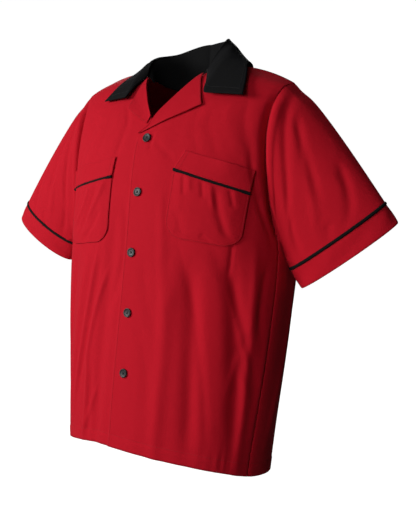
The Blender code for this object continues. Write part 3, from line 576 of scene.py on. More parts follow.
@dataclass
class Cloth:
    """One shell of cloth: a grid of outer points, with u across and v up in metres.

    Attributes:
        points: rows by columns by three.
        closed: whether the last column joins the first.
        outward: 1 if along cross up points out, -1 if in.
    """

    points: Array
    closed: bool = False
    outward: int = 1

    @property
    def normals(self) -> Array:
        """Outward unit normals."""
        return grid_normals(self.points, self.closed) * self.outward

    @property
    def area(self) -> float:
        """Area of the outer face: half the cross product of each cell's diagonals."""
        grid = self.points
        if self.closed:
            grid = wrapped(grid)
        one = grid[1:, 1:] - grid[:-1, :-1]
        other = grid[1:, :-1] - grid[:-1, 1:]
        return float(np.linalg.norm(np.cross(one, other), axis=-1).sum() / 2)

    @property
    def cut(self) -> tuple[float, float]:
        """Flat width and length: the longest line across, once round a tube, and the longest up."""
        grid = self.points
        up = np.linalg.norm(np.diff(grid, axis=0), axis=-1).sum(axis=0).max()
        if self.closed:
            grid = wrapped(grid)
        across = np.linalg.norm(np.diff(grid, axis=1), axis=-1).sum(axis=1).max()
        return float(across), max(float(up), NARROWEST_CUT)

    def raised(self, height: Array) -> "Cloth":
        """The same cloth moved out by height at each point."""
        return Cloth(self.points + self.normals * height[..., None], self.closed, self.outward)

    def line(self, rows: Array, columns: Array, lift: float = 0.0) -> tuple[Array, Array]:
        """Points and normals at fractional rows and columns, between the four nearest.

        Args:
            rows: row numbers, fractions allowed.
            columns: column numbers, fractions allowed.
            lift: distance out from the face.

        Returns:
            The points and their normals.
        """
        grid, normals = self.points, self.normals
        r0 = np.clip(np.floor(rows).astype(int), 0, grid.shape[0] - 2)
        c0 = np.clip(np.floor(columns).astype(int), 0, grid.shape[1] - 2)
        r, c = (rows - r0)[:, None], (columns - c0)[:, None]

        def mix(values: Array) -> Array:
            return (values[r0, c0] * (1 - r) * (1 - c) + values[r0, c0 + 1] * (1 - r) * c
                    + values[r0 + 1, c0] * r * (1 - c) + values[r0 + 1, c0 + 1] * r * c)

        normal = unit(mix(normals))
        return mix(grid) + normal * lift, normal

    def build(self, name: str, finish: bpy.types.Material, thickness: float) -> bpy.types.Object:
        """Make the mesh, its UV map in metres and its inner face.

        Args:
            name: the piece's name.
            finish: its material.
            thickness: the cloth's shown thickness, laid inwards.

        Returns:
            The new object.
        """
        rows, columns = self.points.shape[:2]
        index = np.arange(rows * columns).reshape(rows, columns)
        spot = self.points
        if self.closed:
            index, spot = wrapped(index), wrapped(spot)
        middle = spot[rows // 2]
        u = np.broadcast_to(lengths(middle)[None, :], index.shape)
        v = np.broadcast_to(lengths(spot[:, spot.shape[1] // 2])[:, None], index.shape)
        order = [(slice(None, -1), slice(None, -1)), (slice(None, -1), slice(1, None)),
                 (slice(1, None), slice(1, None)), (slice(1, None), slice(None, -1))]
        if self.outward < 0:
            order = order[::-1]
        faces = np.stack([index[s] for s in order], axis=-1).reshape(-1, 4)
        uv = np.stack([np.stack([u[s], v[s]], axis=-1) for s in order], axis=-2).reshape(-1, 2)
        mesh = bpy.data.meshes.new(name)
        mesh.from_pydata(self.points.reshape(-1, 3), [], faces)
        layer = mesh.uv_layers.new(name="cloth")
        layer.data.foreach_set("uv", uv.astype(np.float32).ravel())
        mesh.shade_smooth()
        piece = add_piece(name, mesh, finish)
        thicken(piece, thickness).use_even_offset = False
        return piece


def add_piece(name: str, mesh: bpy.types.Mesh, finish: bpy.types.Material) -> bpy.types.Object:
    """Put a mesh in the scene as a piece of that finish that rides on the shirt."""
    mesh.materials.append(finish)
    piece = bpy.data.objects.new(name, mesh)
    bpy.context.scene.collection.objects.link(piece)
    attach(piece, "root")
    return piece


def thicken(piece: bpy.types.Object, thickness: float) -> bpy.types.Modifier:
    """Give a piece its thickness, laid inwards from its outer face."""
    wall = piece.modifiers.new("thickness", "SOLIDIFY")
    wall.thickness = thickness
    wall.offset = -1.0
    return wall


def declare(piece: bpy.types.Object, cloth: Cloth, slot: str, *nodes: str) -> None:
    """Hide the CAD nodes that a cloth piece replaces.

    A narrow pointed cloth can cover less of that rectangle than the frame takes, as the right
    lapel does: it is declared at LEAST_AREA_SHARE of it, which is more than its real area.

    Args:
        piece: not used.
        cloth: not used.
        slot: not used.
        nodes: the CAD nodes it replaces.
    """
    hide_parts(*nodes)


@dataclass(frozen=True)
class Thread:
    """A run of stitches: short rounded bars laid end to end along a line."""

    finish: bpy.types.Material
    slot: str
    length: float = STITCH_LENGTH
    gap: float = STITCH_GAP
    radius: float = STITCH_RADIUS

    def sew(self, name: str, runs: Sequence[tuple[Array, Array]]) -> bpy.types.Object:
        """Lay stitches along every run and join them in one piece.

        Each stitch is a bar of five rings: its radius goes as the root of 1 - t^2, and its
        middle stands a little higher than its two ends, which sink into the cloth.

        Args:
            name: the piece's name.
            runs: lines of points with their outward normals.

        Returns:
            The new piece.
        """
        t = np.array((-1.0, -0.7, 0.0, 0.7, 1.0))
        rings, sides_round = len(t), 5
        per_stitch = rings * sides_round
        round_off = np.sqrt(np.maximum(1 - t**2, 0.06))
        turn = np.arange(sides_round) * 2 * math.pi / sides_round
        bar = np.stack(np.broadcast_arrays(
            t[:, None] * self.length / 2,
            np.cos(turn)[None, :] * round_off[:, None] * self.radius,
            np.sin(turn)[None, :] * round_off[:, None] * self.radius
            + (round_off[:, None] - 0.55) * self.radius), axis=-1).reshape(-1, 3)
        ring = np.arange(per_stitch).reshape(rings, sides_round)
        nxt = np.roll(ring, -1, axis=1)
        sides = np.stack([ring[:-1], nxt[:-1], nxt[1:], ring[1:]], axis=-1).reshape(-1, 4)
        ends = [ring[0, ::-1].tolist(), ring[-1].tolist()]
        points, faces, count, near = [], [], 0, 5e-4
        for line, normals in runs:
            at = lengths(line)
            number = max(int(at[-1] / (self.length + self.gap)), 1)
            spots = (np.arange(number) + 0.5) / number * at[-1]
            centre = read_along(spots, at, line)
            up = unit(read_along(spots, at, normals))
            way = unit(read_along(spots + near, at, line) - read_along(spots - near, at, line))
            aside = unit(np.cross(up, way))
            laid = (centre[:, None] + bar[None, :, 0:1] * way[:, None]
                    + bar[None, :, 1:2] * aside[:, None] + bar[None, :, 2:3] * up[:, None])
            points.append(laid.reshape(-1, 3))
            start = count + np.arange(number) * per_stitch
            faces += (sides[None] + start[:, None, None]).reshape(-1, 4).tolist()
            faces += [[v + s for v in end] for s in start.tolist() for end in ends]
            count += number * per_stitch
        mesh = bpy.data.meshes.new(name)
        mesh.from_pydata(np.concatenate(points), [], faces)
        mesh.shade_smooth()
        piece = add_piece(name, mesh, self.finish)
        log.info("%s: %d stitches", name, count // per_stitch)
        return piece


# ------------------------------------------------------------------ finishes
def weave_group() -> bpy.types.NodeTree:
    """Plain weave with an uneven hand: threads over and under, slubs and a soft crinkle.

    Takes a colour and puts out the same colour with its threads' small differences, and a
    height for a Bump node.
    """
    group = bpy.data.node_groups.new("plain_weave", "ShaderNodeTree")
    face = group.interface
    face.new_socket("Color", in_out="INPUT", socket_type="NodeSocketColor")
    face.new_socket("Threads per metre", in_out="INPUT", socket_type="NodeSocketFloat")
    face.new_socket("Mottle", in_out="INPUT", socket_type="NodeSocketFloat")
    face.new_socket("Crinkle", in_out="INPUT", socket_type="NodeSocketFloat")
    face.new_socket("Color", in_out="OUTPUT", socket_type="NodeSocketColor")
    face.new_socket("Height", in_out="OUTPUT", socket_type="NodeSocketFloat")
    nodes, links = group.nodes, group.links
    given, result = nodes.new("NodeGroupInput"), nodes.new("NodeGroupOutput")
    place = nodes.new("ShaderNodeTexCoord")

    def maths(operation: str, one: object, other: object) -> bpy.types.NodeSocket:
        node = nodes.new("ShaderNodeMath")
        node.operation = operation
        for socket, value in zip(node.inputs, (one, other)):
            if isinstance(value, bpy.types.NodeSocket):
                links.new(value, socket)
            else:
                socket.default_value = value
        return node.outputs[0]

    split = nodes.new("ShaderNodeSeparateXYZ")
    links.new(place.outputs["UV"], split.inputs[0])
    pitch = maths("MULTIPLY", given.outputs["Threads per metre"], math.pi)
    warp = maths("SINE", maths("MULTIPLY", split.outputs["X"], pitch), 0.0)
    weft = maths("SINE", maths("MULTIPLY", split.outputs["Y"], pitch), 0.0)
    crossing = maths("MULTIPLY", warp, weft)

    def noise(scale: float, detail: float) -> bpy.types.NodeSocket:
        node = nodes.new("ShaderNodeTexNoise")
        node.inputs["Scale"].default_value = scale
        node.inputs["Detail"].default_value = detail
        links.new(place.outputs["Object"], node.inputs["Vector"])
        return node.outputs["Fac"]

    slub = noise(420.0, 3.0)
    crinkle = noise(46.0, 3.0)
    tone = maths("ADD", maths("MULTIPLY", crossing, 0.04),
                 maths("MULTIPLY", maths("SUBTRACT", slub, 0.5), given.outputs["Mottle"]))
    shade = nodes.new("ShaderNodeHueSaturation")
    links.new(given.outputs["Color"], shade.inputs["Color"])
    links.new(maths("ADD", tone, 1.0), shade.inputs["Value"])
    links.new(shade.outputs["Color"], result.inputs["Color"])
    thread_height = maths("MULTIPLY", crossing, 0.05)
    soft = maths("ADD", maths("MULTIPLY", slub, 0.12), maths("MULTIPLY", crinkle, given.outputs["Crinkle"]))
    links.new(maths("ADD", thread_height, soft), result.inputs["Height"])
    return group


@dataclass(frozen=True)
class ClothFinish:
    """Plain-woven cloth: its colour, how rough it is and how its nap catches light."""

    name: str
    color: tuple[float, float, float]
    roughness: float = 0.86
    sheen: float = 0.05
    sheen_tint: tuple[float, float, float] = (1.0, 0.35, 0.42)
    threads: float = 3200.0
    mottle: float = 0.10
    crinkle: float = 1.4
    bump: float = 0.55
    specular: float = 0.16

    def make(self, weave: bpy.types.NodeTree) -> bpy.types.Material:
        """The material, with the shared weave feeding its colour and its bump."""
        material = bpy.data.materials.new(self.name)
        material.use_nodes = True
        nodes, links = material.node_tree.nodes, material.node_tree.links
        shader = nodes["Principled BSDF"]
        shader.inputs["Roughness"].default_value = self.roughness
        shader.inputs["Sheen Weight"].default_value = self.sheen
        shader.inputs["Sheen Roughness"].default_value = 0.5
        shader.inputs["Sheen Tint"].default_value = (*self.sheen_tint, 1.0)
        shader.inputs["Specular IOR Level"].default_value = self.specular
        group = nodes.new("ShaderNodeGroup")
        group.node_tree = weave
        group.inputs["Color"].default_value = (*self.color, 1.0)
        group.inputs["Threads per metre"].default_value = self.threads
        group.inputs["Mottle"].default_value = self.mottle
        group.inputs["Crinkle"].default_value = self.crinkle
        bump = nodes.new("ShaderNodeBump")
        bump.inputs["Strength"].default_value = self.bump
        bump.inputs["Distance"].default_value = 0.0012
        links.new(group.outputs["Color"], shader.inputs["Base Color"])
        links.new(group.outputs["Height"], bump.inputs["Height"])
        links.new(bump.outputs["Normal"], shader.inputs["Normal"])
        return material


@dataclass(frozen=True)
class PlainFinish:
    """A finish of one colour, for thread and buttons."""

    name: str
    color: tuple[float, float, float]
    roughness: float
    coat: float = 0.0

    def make(self) -> bpy.types.Material:
        """The material."""
        material = bpy.data.materials.new(self.name)
        material.use_nodes = True
        shader = material.node_tree.nodes["Principled BSDF"]
        shader.inputs["Base Color"].default_value = (*self.color, 1.0)
        shader.inputs["Roughness"].default_value = self.roughness
        shader.inputs["Coat Weight"].default_value = self.coat
        return material


@dataclass
class Finishes:
    """Every finish of the shirt."""

    red: bpy.types.Material = field(init=False)
    black: bpy.types.Material = field(init=False)
    resin: bpy.types.Material = field(init=False)
    red_thread: bpy.types.Material = field(init=False)
    black_thread: bpy.types.Material = field(init=False)

    def __post_init__(self) -> None:
        """Make them all."""
        weave = weave_group()
        self.red = ClothFinish("red_poplin", (0.44, 0.0014, 0.0115)).make(weave)
        self.black = ClothFinish("black_poplin", (0.0050, 0.0050, 0.0052), 0.88, 0.02,
                                 (0.9, 0.9, 1.0), specular=0.10).make(weave)
        self.resin = PlainFinish("black_button", (0.005, 0.005, 0.006), 0.50, 0.0).make()
        self.red_thread = PlainFinish("red_thread", (0.34, 0.0015, 0.0085), 0.8).make()
        self.black_thread = PlainFinish("black_thread", (0.008, 0.008, 0.008), 0.6).make()


# ------------------------------------------------------------------ body
@dataclass
class Body:
    """The two fronts and the back, with their hems, side seams and stitches."""

    finishes: Finishes
    columns: int = 132
    lower_rows: int = 104
    chest_rows: int = 60
    neck_rows: int = 16
    facing_top: float = 0.500    # the station where the fronts' edge stitches end
    back_column: float = 0.0024  # width the weave's map gives each column of the back
    grids: dict[tuple[Panel, Side], Cloth] = field(default_factory=dict)

    @property
    def stations(self) -> Array:
        """Row heights, with one exactly at the armpit and one at the back of the neck."""
        parts = (np.linspace(0, ARMPIT_STATION, self.lower_rows + 1),
                 np.linspace(ARMPIT_STATION, NECK_STATION, self.chest_rows + 1)[1:],
                 np.linspace(NECK_STATION, SHOULDER_STATION, self.neck_rows + 1)[1:])
        return np.concatenate(parts)

    def half(self, panel: Panel, side: Side) -> Cloth:
        """One front, or one half of the back, its inner edge first."""
        stations = self.stations
        start = across_at_overlap(stations)[:, None] if panel is Panel.FRONT else 0.0
        columns = self.columns if panel is Panel.FRONT else self.columns * 2 // 3
        share = np.linspace(0, 1, columns)[None, :]
        points = panel_points(panel, side, start + (1 - start) * share, stations[:, None])
        return Cloth(points, outward=side.value * panel.value)

    def ring(self, side: Side) -> Array:
        """The armhole's sewn edge, from the underarm up the front and down the back."""
        front, back = self.grids[Panel.FRONT, side].points, self.grids[Panel.BACK, side].points
        low = self.lower_rows
        return np.vstack([front[low:, -1], back[-2:low:-1, -1]])

    def plain_ring(self, side: Side) -> Array:
        """The same edge as cut, before its seam sinks and puckers."""
        stations = self.stations[self.lower_rows:]
        front, back = (panel_points(panel, side, np.ones(len(stations)), stations, fine=False)
                       for panel in (Panel.FRONT, Panel.BACK))
        return np.vstack([front, back[-2:0:-1]])

    def build(self) -> None:
        """Build the three panels and sew their hems."""
        hems = []
        for side in Side:
            front, back = self.half(Panel.FRONT, side), self.half(Panel.BACK, side)
            back.points[:self.lower_rows + 1, -1] = front.points[:self.lower_rows + 1, -1]
            share = np.linspace(0, 1, back.points.shape[1])
            spots = np.linspace(0, 1, front.points.shape[1])
            back.points[-1] = read_along(share, spots, front.points[-1])
            self.grids[Panel.FRONT, side] = front
            self.grids[Panel.BACK, side] = back
            piece = front.build(f"{side.word}_front_cloth", self.finishes.red, SHELL)
            declare(piece, front, "red_cloth", f"{side.word}_front")
            hems.append(self.hem_line(front))
        self.build_back()
        hems += [self.hem_line(self.grids[Panel.BACK, side]) for side in Side]
        thread = Thread(self.finishes.red_thread, "red_cloth")
        thread.sew("hem_stitches", hems)
        thread.sew("front_edge_stitches", [self.facing_line(side) for side in Side])

    def build_back(self) -> None:
        """The back in one piece: its halves meet on their centre line up to the neck edge."""
        right, left = (self.grids[Panel.BACK, side] for side in (Side.RIGHT, Side.LEFT))
        points = np.concatenate([right.points[:, ::-1], left.points], axis=1)
        rows, columns = points.shape[:2]
        index = np.arange(rows * columns).reshape(rows, columns)
        middle = columns // 2
        below_neck = self.lower_rows + self.chest_rows + 1
        index[:below_neck, middle - 1] = index[:below_neck, middle]
        joined = np.concatenate([quads(index[:, :middle]), quads(index[:, middle:])])[:, ::-1]
        used, joined = np.unique(joined, return_inverse=True)
        mesh = bpy.data.meshes.new("back_cloth")
        mesh.from_pydata(points.reshape(-1, 3)[used], [], joined.reshape(-1, 4))
        flat = np.stack(np.broadcast_arrays(np.arange(columns)[None, :] * self.back_column,
                                            self.stations[:, None]), axis=-1).reshape(-1, 2)
        layer = mesh.uv_layers.new(name="cloth")
        layer.data.foreach_set("uv", flat[used][joined.ravel()].astype(np.float32).ravel())
        mesh.shade_smooth()
        piece = add_piece("back_cloth", mesh, self.finishes.red)
        thicken(piece, SHELL)
        declare(piece, Cloth(points), "red_cloth", "back")

    def hem_line(self, cloth: Cloth) -> tuple[Array, Array]:
        """The hem's stitch line: one hem's depth above the bottom edge."""
        row = HEM_DEPTH / ARMPIT_STATION * self.lower_rows
        columns = np.linspace(1.5, cloth.points.shape[1] - 1.5, 260)
        return cloth.line(np.full(260, row), columns, STITCH_LIFT)

    def facing_line(self, side: Side) -> tuple[Array, Array]:
        """A line of stitches on a front's free edge, from the hem to just below the lapel."""
        cloth = self.grids[Panel.FRONT, side]
        chest_share = (self.facing_top - ARMPIT_STATION) / (NECK_STATION - ARMPIT_STATION)
        top = self.lower_rows + self.chest_rows * chest_share
        return cloth.line(np.linspace(1, top, 300), np.full(300, 1.6), STITCH_LIFT)


# ------------------------------------------------------------------ sleeves
@dataclass
class Sleeve:
    """One sleeve with its creases, the piping and the doubled band below it."""

    side: Side
    ring: Array
    seam: Array
    finishes: Finishes
    rows: int = 120
    band_rows: int = 34
    piping_rows: int = 9
    piping_height: float = 0.0015
    crown_hollow: float = 0.0030
    fold_height: float = 0.0045  # how far the front stands over its sunk armhole seam

    def shares_above(self, depth: float) -> Array:
        """How far along each line of the ring is when depth is left to the opening."""
        shares = np.linspace(0, 1, 61)
        lines = sleeve_form(self.side, self.ring, shares[:, None])
        steps = np.linalg.norm(np.diff(lines, axis=0), axis=-1)
        left = np.cumsum(steps[::-1], axis=0)[::-1]
        return np.array([np.interp(-depth, -np.append(column, 0), shares) for column in left.T])

    def part(self, start: Array, end: Array, rows: int) -> tuple[Cloth, Array]:
        """A stretch of the sleeve between two shares of every line, and those shares."""
        share = np.linspace(0, 1, rows)[:, None]
        along = start * (1 - share) + end * share
        grid = sleeve_form(self.side, self.ring, along)
        settle = (1 - smoothstep(0.0, 0.10, along))[..., None]
        grid = grid + (self.seam - self.ring) * settle
        return Cloth(grid, closed=True, outward=-self.side.value), along

    def relief(self, along: Array, cuff_share: Array) -> Array:
        """Creases, the sunk armhole seam with its puckers, and the pull at the piping."""
        girth = np.arange(len(self.ring))[None, :] / len(self.ring) * SLEEVE_GIRTH
        girth = np.broadcast_to(girth, along.shape)
        down = along * SLEEVE_FALL
        height = crease_height(SLEEVE_CREASES, girth, -down)
        height = height * smoothstep(0, 0.05, along)
        crown = np.exp(-((girth / SLEEVE_GIRTH - 0.5) / 0.12) ** 2)
        seam = seam_dip(down, 0.0016, 0.004) + seam_pucker(down, girth, 0.0003)
        height = height + seam * (1 - 0.8 * crown)
        height = height - self.crown_hollow * crown * np.exp(-((down - 0.030) / 0.022) ** 2)
        in_front = smoothstep(0.02, 0.05, girth) * (1 - smoothstep(0.15, 0.20, girth))
        height = height + self.fold_height * in_front * np.exp(-((down - 0.016) / 0.011) ** 2)
        to_cuff = (cuff_share - along) * SLEEVE_FALL
        return height * (0.35 + 0.65 * smoothstep(0.0, 0.05, to_cuff))

    def build(self) -> None:
        """Build the sleeve, its piping and its band, and sew them."""
        word = self.side.word
        above = self.shares_above(BAND_DEPTH + PIPING_WIDTH / 2)
        below = self.shares_above(BAND_DEPTH - PIPING_WIDTH / 2)
        over = self.shares_above(BAND_DEPTH + PIPING_WIDTH / 2 + PIPING_SPREAD)
        under = self.shares_above(BAND_DEPTH - PIPING_WIDTH / 2 - PIPING_SPREAD)
        cloth, along = self.part(np.zeros(len(self.ring)), above, self.rows)
        cloth = cloth.raised(self.relief(along, above[None, :]))
        piece = cloth.build(f"{word}_sleeve_cloth", self.finishes.red, SHELL)
        declare(piece, cloth, "red_cloth", f"{word}_sleeve")

        piping, _ = self.part(over, under, self.piping_rows)
        t = np.linspace(-1, 1, self.piping_rows)[:, None]
        rounded = self.piping_height * np.sqrt(1 - t**2) + STITCH_LIFT
        piping = piping.raised(np.broadcast_to(rounded, piping.points.shape[:2]))
        piece = piping.build(f"{word}_sleeve_piping_cord", self.finishes.black, DOUBLE_SHELL)
        declare(piece, piping, "black_cloth", f"{word}_sleeve_piping")

        band, along = self.part(below, np.ones(len(self.ring)), self.band_rows)
        share = np.linspace(0, 1, self.band_rows)[:, None]
        girth = np.arange(len(self.ring))[None, :] / len(self.ring) * SLEEVE_GIRTH
        soft = 0.0008 * np.sin(girth * 70 + 3 * share) * np.sin(share * math.pi)
        rolled = -0.0007 * smoothstep(0.93, 1.0, share)
        groove = -0.0004 * np.exp(-((share - 0.06) / 0.02) ** 2)
        band = band.raised(np.broadcast_to(soft + rolled + groove, along.shape))
        piece = band.build(f"{word}_sleeve_band_cloth", self.finishes.red, DOUBLE_SHELL * 1.5)
        declare(piece, band, "red_cloth", f"{word}_sleeve_band")

        columns = np.linspace(0, len(self.ring) - 1.001, 300)
        run = band.line(np.full(300, 2.2), columns, STITCH_LIFT)
        Thread(self.finishes.red_thread, "red_cloth").sew(f"{word}_sleeve_band_stitches", [run])


# ------------------------------------------------------------------ collar
class CollarRow(NamedTuple):
    """One station of the collar: inner leg, fold, middle of the fall, outer edge."""

    share: float
    leg_x: float
    leg_y: float
    leg_z: float
    fold_x: float
    fold_y: float
    fold_z: float
    mid_x: float
    mid_y: float
    mid_z: float
    edge_x: float
    edge_y: float
    edge_z: float


COLLAR_ROWS = (
    CollarRow(0.00, 0.000, 0.066, -0.034, 0.000, 0.078, 0.060, 0.000, 0.096, 0.014, 0.000, 0.106, -0.032),
    CollarRow(0.30, 0.036, 0.048, -0.032, 0.046, 0.061, 0.060, 0.064, 0.078, 0.024, 0.078, 0.086, -0.016),
    CollarRow(0.55, 0.055, 0.014, -0.026, 0.068, 0.018, 0.050, 0.092, 0.026, 0.026, 0.115, 0.031, 0.003),
    CollarRow(0.75, 0.060, -0.012, -0.020, 0.070, -0.012, 0.026, 0.096, -0.020, 0.011, 0.128, -0.013, -0.002),
    CollarRow(0.90, 0.0525, -0.029, -0.022, 0.067, -0.030, 0.004, 0.094, -0.053, -0.019,
              0.146, -0.048, -0.029),
    CollarRow(1.00, 0.0475, -0.036, -0.027, 0.0645, -0.039, -0.011, 0.090, -0.087, -0.058,
              0.158, -0.080, -0.065),
)


@dataclass
class Collar:
    """The collar: an inner leg, a rounded fold and a fall with a stitched edge."""

    finishes: Finishes
    stations: int = 90
    leg_columns: int = 16
    fold_columns: int = 11
    fall_columns: int = 48
    stitched_columns: int = 40
    right_tuck: float = 0.032
    right_drop: float = 0.022
    right_spread: float = 0.012
    fold_radius: float = 0.0026
    edge_margin: float = 0.005

    def surface(self) -> Cloth:
        """The shown face, from the right front end round the back to the left.

        Across each station a smooth curve runs up the leg, round the fold and down the
        fall; the right side is tucked nearer the neck and stands lower.
        """
        shares = np.linspace(0, 1, self.stations + 1)
        row = interpolate(COLLAR_ROWS, shares)
        leg, fold, mid, edge = (row[:, 3 * i:3 * i + 3] for i in range(4))
        out = unit((mid - fold) * (1, 1, 0)) * self.fold_radius
        up = np.array((0, 0, self.fold_radius))
        belly = unit((mid - fold) * (1, 1, 0)) * 0.002
        line = [leg, (leg + fold - out) / 2, fold - out - up, fold, fold + out - up,
                (fold + out + mid) / 2 + belly, mid + belly, (mid + edge) / 2 + belly * 0.6, edge]
        half = np.stack(line, axis=1)
        mirrored = half[:0:-1] * (-1, 1, 1)
        tuck = self.right_tuck * smoothstep(0.1, 0.6, shares[:0:-1, None])
        mirrored[..., 0] += tuck * np.maximum(np.linspace(-0.6, 1, len(line)), 0)
        standing = smoothstep(0.0, 0.06, mirrored[..., 2]) * smoothstep(0, 0.5, shares[:0:-1, None])
        mirrored[..., 0] -= self.right_spread * standing
        mirrored[..., 2] -= self.right_drop * standing
        coarse = hang(np.concatenate([mirrored, half]))
        knots = np.array((0, 0.22, 0.42, 0.45, 0.48, 0.62, 0.75, 0.88, 1.0))
        fine = np.concatenate([np.linspace(0, 0.41, self.leg_columns),
                               np.linspace(0.42, 0.48, self.fold_columns),
                               np.linspace(0.49, 1, self.fall_columns)])
        return Cloth(self.through(knots, coarse, fine))

    @staticmethod
    def through(knots: Array, coarse: Array, fine: Array) -> Array:
        """Each row's points joined by a cubic with limited slopes, read at the fine shares."""
        steps = np.diff(coarse, axis=1) / np.diff(knots)[None, :, None]
        slopes = np.empty_like(coarse)
        slopes[:, 0], slopes[:, -1] = steps[:, 0], steps[:, -1]
        same = steps[:, :-1] * steps[:, 1:] > 0
        smaller = np.minimum(np.abs(steps[:, :-1]), np.abs(steps[:, 1:])) * 1.5
        mean = (steps[:, :-1] + steps[:, 1:]) / 2
        slopes[:, 1:-1] = np.where(same, np.sign(mean) * np.minimum(np.abs(mean), smaller), 0)
        i = np.clip(np.searchsorted(knots, fine, side="right") - 1, 0, len(knots) - 2)
        span = (knots[i + 1] - knots[i])[None, :, None]
        u = ((fine - knots[i]) / span[0, :, 0])[None, :, None]
        return hermite(u, coarse[:, i], span * slopes[:, i], coarse[:, i + 1], span * slopes[:, i + 1])

    def build(self) -> None:
        """Build the collar and sew its edge."""
        cloth = self.surface()
        rows, columns = cloth.points.shape[:2]
        top_of_fold = self.leg_columns + self.fold_columns // 2
        if cloth.normals[rows // 2, top_of_fold, 2] < 0:
            cloth.outward = -1
        turned_columns = self.fold_columns + self.fall_columns - 1
        from_edge = np.arange(columns - 1, -1, -1)[None, :] / turned_columns
        share = np.arange(rows)[:, None] / rows
        wave = 0.0009 * np.sin(share * 38 + 2 * np.sin(share * 11))
        soft = wave * np.exp(-((from_edge - 0.45) / 0.3) ** 2)
        piece_cloth = cloth.raised(np.broadcast_to(soft, (rows, columns)))
        piece = piece_cloth.build("collar_cloth", self.finishes.black, DOUBLE_SHELL)
        declare(piece, piece_cloth, "black_cloth", "collar")
        inset = columns - 1 - turned_columns * 0.5 * self.edge_margin / 0.05
        fall = np.linspace(columns - self.stitched_columns, inset, 60)
        runs = [piece_cloth.line(np.full(60, 2.4), fall, STITCH_LIFT),
                piece_cloth.line(np.linspace(2.4, rows - 3.4, 500), np.full(500, inset), STITCH_LIFT),
                piece_cloth.line(np.full(60, rows - 3.4), fall, STITCH_LIFT)]
        Thread(self.finishes.black_thread, "black_cloth").sew("collar_stitches", runs)


# ------------------------------------------------------------------ lapels and pockets
class LapelCut(NamedTuple):
    """A lapel: the stations of its roll's two ends, its point and its lower tip."""

    roll_top: float
    roll_end: float
    point: tuple[float, float]
    tip: tuple[float, float]


LAPELS = {
    Side.LEFT: LapelCut(0.618, 0.510, (0.0875, -0.0800), (-0.018, -0.126)),
    Side.RIGHT: LapelCut(0.618, 0.540, (0.0600, -0.0820), (0.010, -0.108)),
}


@dataclass
class Lapel:
    """One lapel: the facing turned out over its front, from the roll to its stitched edge."""

    side: Side
    finishes: Finishes
    rows: int = 70
    columns: int = 46
    roll_lift: float = 0.0015
    edge_lift: float = 0.0026

    def build(self) -> None:
        """Lay the lapel over its front and sew its edge."""
        cut = LAPELS[self.side]
        k = np.linspace(0, 1, self.rows)[:, None]
        v = np.linspace(0, 1, self.columns)[None, :]
        station = k * cut.roll_end + (1 - k) * cut.roll_top
        roll = form(Panel.FRONT, self.side, across_at_overlap(station), station)
        outer = (1 - k) * np.array(cut.point) + k * np.array(cut.tip)
        start = np.concatenate([self.side.value * roll[..., 0], roll[..., 2]], axis=1)
        spot = start[:, None, :] * (1 - v[..., None]) + outer[:, None, :] * v[..., None]
        lift = STANDOFF + LAID_LIFT + self.roll_lift * (1 - v) ** 2
        lift = lift + self.edge_lift * smoothstep(0.5, 1, v) * (1 - k)
        points = front_points_at(self.side, spot[..., 0], spot[..., 1], lift)
        cloth = Cloth(points)
        if cloth.normals[self.rows // 2, self.columns // 2, 1] > 0:
            cloth.outward = -1
        word = self.side.word
        piece = cloth.build(f"{word}_lapel_cloth", self.finishes.red, DOUBLE_SHELL)
        declare(piece, cloth, "red_cloth", f"{word}_lapel")
        inset = self.columns - 2.6
        runs = [cloth.line(np.full(40, 1.4), np.linspace(6, inset, 40), STITCH_LIFT),
                cloth.line(np.linspace(1.4, self.rows - 6, 120), np.full(120, inset), STITCH_LIFT)]
        Thread(self.finishes.red_thread, "red_cloth").sew(f"{word}_lapel_stitches", runs)


class PocketCut(NamedTuple):
    """A pocket on its front, each corner as x and height; the band's lower edge is its mouth."""

    top_in: tuple[float, float]
    top_out: tuple[float, float]
    mouth_in: tuple[float, float]
    mouth_out: tuple[float, float]
    bottom_in: tuple[float, float]
    bottom_out: tuple[float, float]


POCKETS = {
    Side.LEFT: PocketCut((0.078, -0.156), (0.187, -0.187), (0.0625, -0.187), (0.1835, -0.2235),
                         (0.060, -0.293), (0.180, -0.309)),
    Side.RIGHT: PocketCut((0.060, -0.164), (0.184, -0.187), (0.0625, -0.198), (0.183, -0.2190),
                          (0.058, -0.307), (0.178, -0.319)),
}
POCKET_CREASES = {Side.LEFT: LEFT_POCKET_CREASES, Side.RIGHT: RIGHT_POCKET_CREASES}


def blend(start: Sequence[float], end: Sequence[float], share: Array) -> Array:
    """Spots between two spots, share being numbers from 0 to 1."""
    return np.array(start) * (1 - share[..., None]) + np.array(end) * share[..., None]


